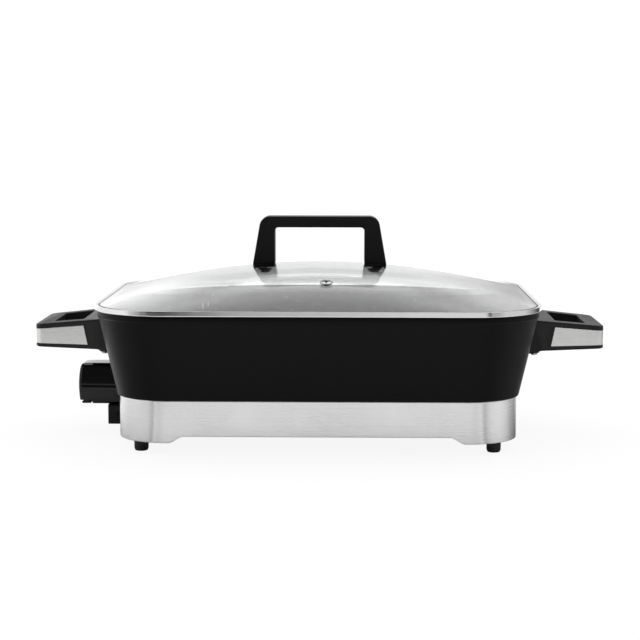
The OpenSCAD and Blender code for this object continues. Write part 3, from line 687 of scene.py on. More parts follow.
# -------------------------------------------------------------------- skirt
def notch(u, half, low, high, run=12.0, r=7.0):
    """Lower edge of the skirt at distance u from the middle, with eased corners."""
    u = abs(u)
    t = (half + run - u) / run
    if t <= 0:
        base = low
    elif t >= 1:
        base = high
    else:
        base = low + (high - low) * (3 * t * t - 2 * t ** 3) * 0.45 + (high - low) * t * 0.55
    return base


def skirt_bottom(s):
    bx, by, nx, ny = s
    if abs(ny) == 1:
        return notch(bx, 126, SKIRT_LOW, SKIRT_HIGH)
    if abs(nx) == 1:
        return notch(by, 70, SKIRT_LOW, SKIRT_HIGH)
    return SKIRT_LOW


def build_skirt():
    xs = sorted({round(-CX + 1.5 * i, 3) for i in range(1, int(2 * CX / 1.5) + 1)})
    ys = sorted({round(-CY + 1.5 * i, 3) for i in range(1, int(2 * CY / 1.5) + 1)} - {91.0})
    xs = [x for x in xs if abs(x) < CX - 0.01]
    ys = [y for y in ys if abs(y) < CY - 0.01]
    st = stations(40, xs=xs, ys=ys)
    ro, ri, top = SKIRT_R, SKIRT_R - 1.0, PAN_UNDER_Z + 0.55
    low = lambda d: (lambda s: skirt_bottom(s) + d)
    prof = [(ri, top), (ri, top - 1.4), (ri, 40.0), (ri, 30.0), (ri, 22.4), (ri, 21.6), (ri - 6.2, 21.5), (ri - 6.5, 21.4), (ri - 6.5, 20.6), (ri - 6.2, 20.5), (ri, 20.4)]
    prof += [(ri, low(1.2)), (ri + 0.02, low(0.45)), (ri + 0.18, low(0.14)), (ri + 0.5, low(0)), (ro - 0.18, low(0.14)), (ro - 0.02, low(0.45)), (ro, low(1.2))]
    prof += [(ro, low(2.0)), (ro, 22.0), (ro, 30.0), (ro, 40.0), (ro, top - 1.0), (ro, top - 0.35), (ro - 0.12, top - 0.08), (ro - 0.4, top)]
    v, f = sweep(st, prof, closed=True)
    ob = make("skirt_band", v, f, M["skirt"], sharp=34)
    # window for the terminals and the guard's screw holes
    boolean(ob, cutter(*prism(rounded([(-18, 37.5), (18, 37.5), (18, 54), (-18, 54)], [2, 2, 0, 0]), -196, -184, "X")), sharp=34)
    for s in (-1, 1):
        boolean(ob, tool(1.5, -6, 6, (-190, s * 20.5, 33), "X", 24), sharp=34)
    own(ob, "base", "skirt_steel", "base_skirt")
    return ob


def build_feet():
    obs = []
    for sx in (-1, 1):
        for sy in (-1, 1):
            prof = [(3.5, 4), (3.5, 0.3), (3.8, 0), (5.2, 0), (5.75, 0.25), (6.15, 0.8), (6.35, 1.6), (6.75, 2.2), (6.85, 8), (7.1, 18.2), (7.05, 19.0), (6.6, 19.45), (1.9, 19.45), (1.9, 4), (3.5, 4)]
            v, f = lathe(prof, 48, (sx * FOOT_X, sy * FOOT_Y, 0))
            obs.append(make("foot", v, f, M["rubber"], sharp=40))
    ob = join("foot_set", obs)
    shade(ob, 40)
    own(ob, "base", "foot_rubber", "feet")


def build_guard():
    top = PAN_UNDER_Z - 0.25
    ob = make("guard_moulding", *prism(rounded([(-25, 7), (25, 7), (25, top), (-25, top)], 2.5), -194.5, -190.05, "X"), M["guard"])
    blk = make("blk", *prism(rounded([(-20, 7), (20, 7), (20, 27), (-20, 27)], 2.0), -212.5, -193.8, "X"), M["guard"])
    boolean(ob, blk, "UNION")
    boolean(ob, cutter(*prism(rounded([(-209.5, -17), (-197.5, -17), (-197.5, 17), (-209.5, 17)], 1.5), 5, 24)))
    for s in (-1, 1):
        boolean(ob, tool(3.65, -8, 8, (-192, s * PIN_Y, PIN_Z), "X"))
        boolean(ob, tool(1.5, -8, 8, (-192, s * 20.5, 33), "X", 24))
        boolean(ob, tool(3.0, -8, 2.1, (-194.5, s * 20.5, 33), "X", 32))
        # oval finger recesses moulded in the front and rear of the block
        v, f = lathe([(0, -1.6), (2.2, -1.45), (4.2, -0.9), (5.2, 0.0), (5.4, 1.5), (0, 1.5)], 40, (0, 0, 0), "Y")
        c = cutter(v, f)
        c.data.transform(Matrix.Scale(s, 4, (0, 1, 0)) @ Matrix.Scale(0.62, 4, (1, 0, 0)) @ Matrix.Scale(1.0, 4, (0, 0, 1)))
        if s < 0:
            c.data.flip_normals()
        c.data.transform(Matrix.Translation(Vector((-201.0, s * 20.2, 16.5)) * MM))
        boolean(ob, c)
    boolean(ob, tool(4.8, -8, 8, (-192, 0, PROBE_Z), "X"))
    bevel(ob, 0.5, 2, 40, 45)
    own(ob, "base", "phenolic", "socket_guard")


# ------------------------------------------------------------- side handles
def grip_z(x):
    return GRIP_END_TOP + (GRIP_END_X - x) * GRIP_RISE


def grip_outline(d=0.0, x0=190.0):
    n = math.sqrt(1 + GRIP_TAPER ** 2)
    r = max(GRIP_CORNER - d, 0.5)
    xc, yc = GRIP_END_X - GRIP_CORNER, GRIP_HALF_Y + GRIP_CORNER * (GRIP_TAPER - n)
    y0 = GRIP_HALF_Y + (GRIP_END_X - x0) * GRIP_TAPER - d * n
    a = 90 - math.degrees(math.atan(GRIP_TAPER))
    return [(x0, -y0)] + arc(xc, -yc, r, -a, 0, 10) + arc(xc, yc, r, 0, a, 10) + [(x0, y0)]


INLAY = [(227, 92.1), (290, 92.95), (290, 105.9), (231, 111.0)]


def grown(poly, d):
    cx = sum(p[0] for p in poly) / len(poly)
    cz = sum(p[1] for p in poly) / len(poly)
    out = []
    for x, z in poly:
        out.append((x + (d if x > cx else -d), z + (d if z > cz else -d)))
    return out


def inlay_strip(name, d_out, d_in, grow, mat, rnd=0.0):
    ring = make(name, *prism(grip_outline(d_out), 80, 125), mat)
    boolean(ring, cutter(*prism(grip_outline(d_in, 185.0), 70, 130)))
    poly = grown(INLAY, grow)
    if rnd:
        poly = rounded(poly, rnd, 3)
    boolean(ring, cutter(*prism(poly, -70, 70, "Y")), "INTERSECT")
    return ring


def build_side_handle(side):
    px = lambda z: CX + wall_r(z) + 0.2
    prof = [(px(84.8), 84.8), (209.5, 85.2), (218, 87.6), (GRIP_END_X + 2, 89.35), (GRIP_END_X + 2, grip_z(GRIP_END_X + 2)), (px(118.5), grip_z(px(118.5)))]
    prof = rounded(prof, [0, 3, 6, 0, 0, 0], 4)
    ob = make("grip", *prism(prof, -70, 70, "Y"), M["phenolic"])
    boolean(ob, cutter(*prism(grip_outline(0), 60, 140)), "INTERSECT")
    hole = [(233, -38.2), (233, 38.2), (235.5, 38.7), (260.5, 35.3), (263, 32.5), (263, -32.5), (260.5, -35.3), (235.5, -38.7)]
    hole = rounded([(233, -39.0), (263, -35.0), (263, 35.0), (233, 39.0)], 3.2, 5)
    boolean(ob, cutter(*prism(hole, 60, 140)))
    bevel(ob, 1.1, 3, 34, 45, weight=False)
    # groove for the inlay, with a hairline gap round it
    boolean(ob, inlay_strip("groove", -1.0, 1.45, 0.28, M["phenolic"]), sharp=40)
    for s in (-1, 1):
        boolean(ob, cutter(*prism([(195, 95.85), (219.2, 95.85), (219.2, 105.15), (195, 105.15)], s * 45 - 5.15, s * 45 + 5.15, "Y")), sharp=40)
        boolean(ob, tool(2.1, 70, 98, (GRIP_SCREW_X, s * GRIP_SCREW_Y, 0), "Z", 24), sharp=40)
    # bosses under the screws
    boss = []
    for s in (-1, 1):
        v, f = lathe([(2.1, 84.9), (4.6, 84.9), (5.0, 85.3), (5.4, 89.5), (2.1, 89.5), (2.1, 84.9)], 40, (GRIP_SCREW_X, s * GRIP_SCREW_Y, 0))
        boss.append(make("boss", v, f, M["phenolic"], sharp=40))
    w = ob.modifiers.new("wn", "WEIGHTED_NORMAL")
    w.keep_sharp = True
    applied(ob, 40)
    ob = join("grip_" + side, [ob] + boss)
    shade(ob, 40)
    strip = inlay_strip("strip_" + side, 0.0, 1.25, 0.0, M["inlay"], 0.35)
    bevel(strip, 0.22, 2, 40, 45)
    for o in (ob, strip):
        if side == "left":
            o.data.transform(Matrix.Scale(-1, 4, (1, 0, 0)))
            o.data.flip_normals()
            if not o.modifiers:
                shade(o, 40)
    own(ob, "base", "phenolic", side + "_handle")
    own(strip, "base", "inlay_steel", side + "_handle_inlay")


# ---------------------------------------------------------------------- lid
GLASS_STATIONS = stations(28, 30, 20)
AX, AY = CX + GLASS_R, CY + GLASS_R


def outline_factor(t):
    """How far the edge of the glass lies beyond the ellipse with the same half axes."""
    c, s = abs(math.cos(t)), abs(math.sin(t))
    if c > 1e-9 and AY * s / c <= CY:
        return 1 / c
    if s > 1e-9 and AX * c / s <= CX:
        return 1 / s
    dx, dy = AX * c, AY * s
    qa, qb, qc = dx * dx + dy * dy, -2 * (dx * CX + dy * CY), CX * CX + CY * CY - GLASS_R ** 2
    return (-qb + math.sqrt(qb * qb - 4 * qa * qc)) / (2 * qa)


SAMPLES = [outline_factor(math.pi * i / 720) for i in range(720)]
WAVES = [(1 if k == 0 else 2) / 720 * sum(v * math.cos(2 * k * math.pi * i / 720) for i, v in enumerate(SAMPLES)) for k in range(60)]


def eased_factor(t, sigma):
    """The same, softened along the angle, and still 1 on both axes."""
    at = lambda u: sum(c * math.exp(-0.5 * (2 * k * sigma) ** 2) * math.cos(2 * k * u) for k, c in enumerate(WAVES))
    return at(t) - at(0.0) * math.cos(t) ** 2 - at(math.pi / 2) * math.sin(t) ** 2 + 1


def build_glass():
    n = len(GLASS_STATIONS)
    ss = [0.03, 0.06] + [0.06 + 0.94 * i / 56 for i in range(1, 57)]
    verts, faces = [], []
    edge = [(p[0] + GLASS_R * p[2], p[1] + GLASS_R * p[3]) for p in GLASS_STATIONS]
    ang = [math.atan2(p[1] / AY, p[0] / AX) for p in edge]
    rings = []
    for s in ss:
        sigma = math.radians(10) * min(1.0, math.sqrt(max(0.0, 1 - s) / 0.15))
        known, ring = {}, []
        for t in ang:
            key = round(min(abs(math.sin(t)), 1.0), 6)
            if key not in known:
                known[key] = outline_factor(t) if sigma < 1e-6 else eased_factor(t, sigma)
            k = s * (1 + s ** 1.5 * (known[key] - 1))
            ring.append((k * AX * math.cos(t), k * AY * math.sin(t)))
        rings.append(ring)

    def layer(drop):
        base = len(verts)
        verts.append((0, 0, GLASS_EDGE_Z + DOME_H - drop))
        for s, ring in zip(ss, rings):
            for x, y in ring:
                verts.append((x, y, GLASS_EDGE_Z + DOME_H * (1 - s * s) - drop))
        return base

    a, b = layer(0.0), layer(GLASS_T)
    m = len(ss)
    for base in (a, b):
        for k in range(n):
            faces.append((base, base + 1 + k, base + 1 + (k + 1) % n))
        for i in range(m - 1):
            u = base + 1 + i * n
            for k in range(n):
                faces.append((u + k, u + n + k, u + n + (k + 1) % n, u + (k + 1) % n))
    u, w = a + 1 + (m - 1) * n, b + 1 + (m - 1) * n
    for k in range(n):
        j = (k + 1) % n
        faces.append((u + k, w + k, w + j, u + j))
    def which(p):
        out = Vector((max(0.0, abs(p.center.x) / MM - CX), max(0.0, abs(p.center.y) / MM - CY)))
        return 1 if abs(p.normal.z) < 0.3 and out.length > GLASS_R - 1 else 0

    ob = make("lid_dome", verts, faces, None, mats=[M["glass"], M["glass_edge"]], face_mat=which, sharp=40)
    for s in (-1, 1):
        boolean(ob, tool(3.6, 140, 190, (s * LEG_X, 0, 0), "Z", 32), sharp=40)
    c = tool(3.5, -15, 15, (0, 0, 0), "Z", 32)
    place_on_dome(c)
    boolean(ob, c, sharp=40)
    own(ob, "lid", "lid_glass", "lid_glass")


VENT_TILT = math.atan(2 * DOME_H * -VENT_Y / (CY + GLASS_R) ** 2)


def place_on_dome(ob):
    ob.data.transform(Matrix.Translation(Vector((VENT_X, VENT_Y, glass_z(VENT_X, VENT_Y))) * MM) @ Matrix.Rotation(VENT_TILT, 4, "X"))


def build_rim():
    z0, z1 = PAN_RIM_Z + 0.2, GLASS_EDGE_Z
    under = GLASS_EDGE_Z - GLASS_T
    gi = GLASS_R + 0.1
    prof = [(61.55, 126.75), (61.8, 126.6), (62.25, 126.6), (62.5, 126.8), (62.5, z0 - 0.4), (62.9, z0)]
    prof += [(RIM_R - 1.6, z0), (RIM_R - 1.15, z0 + 0.12), (RIM_R - 0.8, z0 + 0.46), (RIM_R - 0.42, z0 + 0.54), (RIM_R - 0.16, z0 + 0.7), (RIM_R - 0.03, z0 + 0.92), (RIM_R, z0 + 1.12)]
    prof += [(RIM_R, z0 + 1.3), (RIM_R - 0.07, z1 - 0.3), (RIM_R - 0.07, z1 - 0.1)] + arc(RIM_R - 0.37, z1, 0.3, 0, 90, 4)
    prof += [(RIM_R - 0.8, z1 + 0.22), (gi + 1.9, z1 - 0.02), (gi + 1.3, z1 - 0.1), (gi + 1.12, z1 - 0.2), (gi + 1.02, z1 - 0.42), (gi + 0.9, z1 - 0.52), (gi + 0.1, z1 - 0.54), (gi, z1 - 0.7)]
    prof += [(gi, under - 0.15), (gi - 0.3, under - 0.15), (62.7, under - 0.15), (61.7, under - 0.4), (61.5, under - 0.9), (61.5, 127.2)]
    v, f = sweep(stations(40, 24, 16), prof, closed=True)

    def which(p):
        # the bead of sealant between the pane and the steel
        x, y = max(0.0, abs(p.center.x) / MM - CX), max(0.0, abs(p.center.y) / MM - CY)
        return 1 if gi - 0.05 < math.hypot(x, y) < gi + 1.2 and p.center.z / MM > z1 - 0.7 else 0

    ob = make("lid_band", v, f, None, mats=[M["rim"], M["silicone"]], face_mat=which, sharp=50)
    own(ob, "lid", "rim_steel", "lid_rim")


def build_lid_handle():
    li, lo = 44.5, 67.0
    chord = (glass_z(lo, 0) - glass_z(li, 0)) / (lo - li)
    lz = lambda x: glass_z(li, 0) + (x - li) * chord + 0.85
    right = [(li + 0.05, lz(li)), (lo, lz(lo))] + arc(49.6, GRIP_TOP - 10.6, 10.6, 9, 90, 14)
    left = [(-x, z) for x, z in reversed(right)]
    inner = arc(41.0, 201.5, 3.6, 0, 90, 7)
    inner = [(-x, z) for x, z in inner] + [(x, z) for x, z in reversed(inner)]
    # one outline: outer side up and over, then back under the grip
    outline = right + left + inner
    ob = make("lid_grip", *prism(outline, -GRIP_DEPTH / 2, GRIP_DEPTH / 2, "Y"), M["phenolic_lid"], sharp=34)
    for s in (-1, 1):
        boolean(ob, tool(2.55, 150, 186, (s * LEG_X, 0, 0), "Z", 24), sharp=34)
    bevel(ob, 1.3, 4, 40, 45)
    own(ob, "lid", "phenolic", "lid_handle")


def build_vent():
    prof = [(2.5, -5.2), (2.7, -5.4), (4.7, -5.4), (5.15, -5.2), (5.15, -4.75), (4.8, -4.6), (3.2, -4.6), (3.2, 0.12)]
    prof += [(5.8, 0.12), (6.2, 0.3), (6.15, 0.8), (5.6, 1.25), (4.9, 1.5), (4.2, 1.95), (3.5, 2.15), (2.9, 2.0), (2.6, 1.6), (2.5, 1.0), (2.5, -5.2)]
    ob = make("vent_eyelet", *lathe(prof, 72), M["eyelet"], sharp=60)
    # the flange is slit where it was rolled over
    for i in range(6):
        a = math.radians(30 + 60 * i)
        c = tool(0.85, -3.2, 3.2, (0, 0, 0), "X", 20)
        c.data.transform(Matrix.Rotation(a, 4, "Z") @ Matrix.Translation((0.0054, 0, 0.00205)))
        boolean(ob, c, sharp=60)
    # dark sleeve in the hole, a little below the lip
    sleeve = make("sleeve", *lathe([(1.35, -5.0), (2.46, -5.0), (2.46, 1.1), (2.1, 1.3), (1.6, 1.25), (1.35, 1.0), (1.35, -5.0)], 40), M["silicone"], sharp=50)
    ob = join("vent_eyelet", [ob, sleeve])
    shade(ob, 50)
    place_on_dome(ob)
    own(ob, "lid", "rim_steel", "steam_vent")


# ------------------------------------------------------------------ control
def end_x(z):
    return CTL_OUT + 110 - math.sqrt(110 ** 2 - (z - 46) ** 2)


def ctl_loft(name, section, mat, x_in=CTL_IN):
    """A loft along X from the inner end to the convex outer end. section(w) gives (y, z) points."""
    cols = [(0.0, 0.7), (0.012, 0.2), (0.03, 0.0), (0.25, 0), (0.5, 0), (0.72, 0), (0.86, 0.03), (0.91, 0.18), (0.948, 0.48), (0.974, 0.95), (0.990, 1.55), (0.998, 2.3), (1.0, 2.9)]
    verts, faces = [], []
    n = None
    for t, inset in cols:
        x_mid = x_in + t * (CTL_OUT - x_in)
        w = 18.0 + 0.6 * (1 - t) - 1.1 * t
        pts = section(w, inset)
        n = len(pts)
        for y, z in pts:
            verts.append((x_in + t * (end_x(z) - x_in), y, z))
    m = len(cols)
    for i in range(m - 1):
        for j in range(n):
            k = (j + 1) % n
            faces.append((i * n + j, i * n + k, (i + 1) * n + k, (i + 1) * n + j))
    # ends: rings drawn in towards the middle line, so that the convex face stays round
    for i, x_of in ((0, lambda z: x_in), (m - 1, end_x)):
        ring = [verts[i * n + j] for j in range(n)]
        zc = sum(p[2] for p in ring) / n
        prev = [i * n + j for j in range(n)]
        for q in (0.86, 0.66, 0.44, 0.22):
            cur = []
            for p in ring:
                y, z = p[1] * q, zc + (p[2] - zc) * q
                cur.append(len(verts))
                verts.append((x_of(z), y, z))
            for j in range(n):
                k = (j + 1) % n
                faces.append((prev[j], prev[k], cur[k], cur[j]))
            prev = cur
        faces.append(tuple(prev))
    return make(name, verts, faces, mat, sharp=28)


def build_control():
    zs0, zs1 = SEAM_Z + 0.35, SEAM_Z - 0.35
    r = 4.6

    def upper(w, d):
        w -= d
        zt = CTL_TOP - d * 1.15
        # the side leans in from the seam, and more so above the crease
        lean = lambda z: (z - 47.0) * 0.078 if z < 54.6 else 0.593 + (z - 54.6) * 0.135
        side_ = [(w - 0.35, zs0), (w - 0.10, zs0 + 0.1), (w - 0.02, zs0 + 0.35)]
        side_ += [(w - lean(z), z) for z in (47.8, 50.5, 53.6, 54.4, 54.8, 55.6, 59.0, zt - r - 0.6)]
        top_w = w - lean(zt - r)
        side_ += arc(top_w - r, zt - r, r, 6, 90, 7)
        pts = [(-y, z) for y, z in reversed(side_)]
        pts = side_ + [((top_w - r) * k, zt) for k in (0.6, 0.2, -0.2, -0.6)] + pts
        return pts

    def lower(w, d):
        w -= d
        zb = 27.3 + d * 0.75
        rb = 3.4
        pts = [(w - 0.35, zs1), (-w + 0.35, zs1), (-(w - 0.08), zs1 - 0.12), (-w, zs1 - 0.4), (-w, 42.0), (-w, 36.0)]
        pts += [(-y, z) for y, z in arc(w - rb, zb + rb, rb, 0, -90, 6)]
        pts += [(-(w - rb) * 0.5, zb), (0, zb), ((w - rb) * 0.5, zb)]
        pts += [(y, z) for y, z in reversed(arc(w - rb, zb + rb, rb, 0, -90, 6))]
        pts += [(w, 36.0), (w, 42.0), (w, zs1 - 0.4), (w - 0.08, zs1 - 0.12)]
        return pts

    up = ctl_loft("control_cover", upper, M["gloss"])
    low = ctl_loft("control_tray", lower, M["gloss"])
    # the underside is higher beyond the step
    step = prism(rounded([(-260, 10), (CTL_STEP, 10), (CTL_STEP + 0.6, 27.2), (CTL_STEP - 0.2, 31), (-260, 31)], [0, 0, 0, 1.4, 0], 4), -40, 40, "Y")
    boolean(low, cutter(*step), sharp=28)
    for ob in (up, low):
        for s in (-1, 1):
            boolean(ob, tool(2.7, -8, 4, (-197, s * PIN_Y, PIN_Z), "X", 32), sharp=28)
        boolean(ob, tool(PROBE_R + 0.05, -8, 4, (-197, 0, PROBE_Z), "X", 40), sharp=28)
        boolean(ob, tool(DIAL_R + 0.4, -10, 3.6, (CTL_OUT, 0, DIAL_Z), "X", 72), sharp=28)
        boolean(ob, tool(3.06, -10, 10, (CTL_OUT, 0, DIAL_Z), "X", 32), sharp=28)
    # hollow inside, as the shells are
    boolean(up, cutter(*prism([(-235, SEAM_Z - 3), (-200, SEAM_Z - 3), (-200, CTL_TOP - 2.6), (-235, CTL_TOP - 2.6)], -15.2, 15.2, "Y")), sharp=28)
    boolean(low, cutter(*prism([(-235, 34), (-226, 34), (-226, 29.8), (-200, 29.8), (-200, SEAM_Z + 3), (-235, SEAM_Z + 3)], -15.2, 15.2, "Y")), sharp=28)
    boolean(up, tool(2.0, -3, 12, (-245, 0, 63.4), "X", 32), sharp=28)
    boolean(low, cutter(*prism([(-234.7, -6.2), (-231.3, -6.2), (-231.3, 6.2), (-234.7, 6.2)], 28, 38)), sharp=28)
    boolean(low, tool(4.3, 0, 12, (-221, 12, 36.3), "Y", 40), sharp=28)
    for (x, y), zt in zip(POSTS, (29.3, 32.9)):
        boolean(low, tool(2.35, 20, zt, (x, y, 0), "Z", 32), sharp=28)
    # dark lip that fills the seam between the shells
    lip = ctl_loft("control_seam", lambda w, d: [(-(w - d - 0.75), SEAM_Z - 0.6), (w - d - 0.75, SEAM_Z - 0.6), (w - d - 0.75, SEAM_Z + 0.6), (-(w - d - 0.75), SEAM_Z + 0.6)], M["dial"])
    lip.data.transform(Matrix.Translation((0.75 * MM, 0, 0)))
    boolean(lip, cutter(*prism([(-236.5, -15.4), (-199.5, -15.4), (-199.5, 15.4), (-236.5, 15.4)], 40, 52)), sharp=28)
    for s in (-1, 1):
        boolean(lip, tool(2.7, -8, 8, (-197, s * PIN_Y, PIN_Z), "X", 32), sharp=28)
    boolean(lip, tool(PROBE_R + 0.05, -8, 8, (-197, 0, PROBE_Z), "X", 40), sharp=28)
    boolean(lip, tool(DIAL_R + 0.4, -10, 3.6, (CTL_OUT, 0, DIAL_Z), "X", 72), sharp=28)
    boolean(lip, tool(3.06, -10, 14, (CTL_OUT, 0, DIAL_Z), "X", 32), sharp=28)
    own(up, "control", "gloss_black", "control_upper_shell")
    own(low, "control", "gloss_black", "control_lower_shell")
    own(lip, "control", "gloss_black")


def build_dial():
    # turned blank with a milled edge and two finger hollows
    n = 96
    prof = [(1.6, 0.0), (DIAL_R - 0.5, 0.0), (DIAL_R - 0.05, 0.35), (DIAL_R, 0.9), (DIAL_R, 2.4), (DIAL_R - 0.35, 3.1), (DIAL_R - 1.2, 3.7), (DIAL_R - 2.2, 3.98), (DIAL_R - 4.0, 4.0), (1.5, 4.0), (0, 4.0)]
    v, f = lathe(prof, n)
    out = []
    for x, y, z in v:
        rr = math.hypot(x, y)
        if DIAL_R - 0.01 < rr and 0.8 < z < 2.5:
            k = 1 - 0.022 * (0.5 + 0.5 * math.cos(32 * math.atan2(y, x)))
            x, y = x * k, y * k
        out.append((x, y, z))
    ob = make("dial_cap", out, f, M["dial"], sharp=45)
    bm = bmesh.new()
    bm.from_mesh(ob.data)
    holes = [e for e in bm.edges if e.is_boundary]
    if holes:
        bmesh.ops.holes_fill(bm, edges=holes)
    bm.to_mesh(ob.data)
    bm.free()
    for s in (-1, 1):
        c = make("c", *lathe([(0, 1.6), (7.6, 1.7), (8.7, 2.3), (9.1, 3.4), (9.2, 6.0), (0, 6.0)], 56), M["dial"])
        boolean(c, cutter(*prism([(-20, 2.2 * s), (20, 2.2 * s), (20, -20 * s), (-20, -20 * s)], -2, 9)))
        boolean(ob, c, sharp=45)
    bevel(ob, 0.28, 2, 50, 50)
    applied(ob, 50)
    # raised pointer line along the grip
    line = make("dial_line", *prism(rounded([(3.0, -0.45), (9.6, -0.45), (9.6, 0.45), (3.0, 0.45)], 0.2, 2), 3.9, 4.06), M["mark"])
    for o in (ob, line):
        # +Z of the blank faces out of the end of the control, and its +X points up
        o.data.transform(Matrix.Translation(Vector((CTL_OUT + 3.55, 0, DIAL_Z)) * MM) @ Matrix(((0, 0, -1, 0), (0, 1, 0, 0), (1, 0, 0, 0), (0, 0, 0, 1))))
    own(ob, "dial", "gloss_black", "control_dial")
    own(line, "dial", "lens")
    return ob


def build_trigger():
    ob = make("trigger_tab", *prism(rounded([(-240, 26.9), (-231, 26.9), (-231, 29.0), (-240, 29.0)], [0.5, 0.5, 0.5, 0.5], 3), -11, 11, "Y"), M["gland"])
    for i in range(3):
        x = -238.6 + i * 2.6
        boolean(ob, cutter(*prism([(x, -9), (x + 1, -9), (x + 1, 9), (x, 9)], 26, 27.3)))
    bevel(ob, 0.25, 2, 40, 45)
    applied(ob, 45)
    stem = make("stem", *prism([(-234.4, -5.9), (-231.6, -5.9), (-231.6, 5.9), (-234.4, 5.9)], 28.8, 34.4), M["gland"])
    fl = make("fl", *prism(rounded([(-234.6, -7.5), (-224.8, -7.5), (-224.8, 7.5), (-234.6, 7.5)], 1.0), 34.1, 35.6), M["gland"])
    ob = join("trigger_button", [ob, stem, fl])
    shade(ob, 40)
    own(ob, "trigger", "gland_black", "release_trigger")


def build_gland():
    prof = [(2.8, 13.2), (5.1, 13.2), (5.1, 15.4), (4.2, 15.4), (4.2, 18.1), (5.2, 18.1), (5.25, 18.8)]
    for i in range(4):
        y = 19.4 + i * 1.5
        rr = 5.1 - i * 0.22
        prof += [(rr, y), (rr, y + 0.7), (rr - 0.55, y + 0.9), (rr - 0.55, y + 1.4)]
    prof += [(4.2, 25.5), (4.0, 26.1), (3.1, 26.1), (2.8, 25.8), (2.8, 13.2)]
    ob = make("cord_inlet_collar", *lathe(prof, 48, (-221, 0, 36.3), "Y"), M["gland"], sharp=40)
    own(ob, "control", "gland_black", "cord_gland")


def build_screws():
    under = glass_z(LEG_X, 0) - GLASS_T - 2.2
    sets = [
        ("base_screw_set", [(sx * 70, sy * 45, 19.5) for sx in (-1, 1) for sy in (-1, 1)], "Z", 4.0, 2.2, 1.95, 21, "base", "base_screws"),
        ("foot_screw_set", [(sx * FOOT_X, sy * FOOT_Y, 4) for sx in (-1, 1) for sy in (-1, 1)], "Z", 3.2, 2.2, 1.8, 19, "base", "foot_screws"),
        ("grip_screw_set", [(sx * GRIP_SCREW_X, sy * GRIP_SCREW_Y, 84.2) for sx in (-1, 1) for sy in (-1, 1)], "Z", 3.2, 1.5, 1.95, 19, "base", "handle_screws"),
        ("guard_screw_set", [(-192.4, s * 20.5, 33) for s in (-1, 1)], "X", 2.8, 1.8, 1.45, 6, "base", "guard_screws"),
        ("lid_screw_set", [(s * LEG_X, 0, under) for s in (-1, 1)], "Z", 5.0, 2.6, 2.5, 23, "lid", "lid_handle_screws"),
        ("control_screw_set", [(x, y, z) for (x, y), z in zip(POSTS, (29.3, 32.9))], "Z", 2.2, 1.4, 1.2, 22, "control", "control_screws"),
    ]
    for name, places, d, hr, hh, sr, ln, body, rep in sets:
        ob = screw_mesh(name, places, d, hr, hh, sr, ln, M["screw"])
        own(ob, body, "screw_steel", rep)


build_pan()
build_skirt()
build_feet()
build_guard()
build_side_handle("right")
build_side_handle("left")
build_glass()
build_rim()
build_lid_handle()
build_vent()
build_control()
build_dial()
build_trigger()
build_gland()
build_screws()

# finishes for the CAD nodes that stay
KEEP = {
    "heating_element": "sheath", "terminal_pins": "pin", "terminal_insulators": "ceramic",
    "heat_reflector": "reflector", "reflector_spacers": "sheet", "base_plate": "sheet",
    "lid_handle_pads": "silicone", "lid_handle_washers": "silicone",
    "probe_rod": "pin", "contact_sockets": "brass", "thermostat_switch": "switch",
    "indicator_lens": "lens", "dial_shaft": "screw", "trigger_spring": "screw",
}
for name, key in KEEP.items():
    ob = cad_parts[name]
    for sl in ob.material_slots:
        sl.material = M[key]

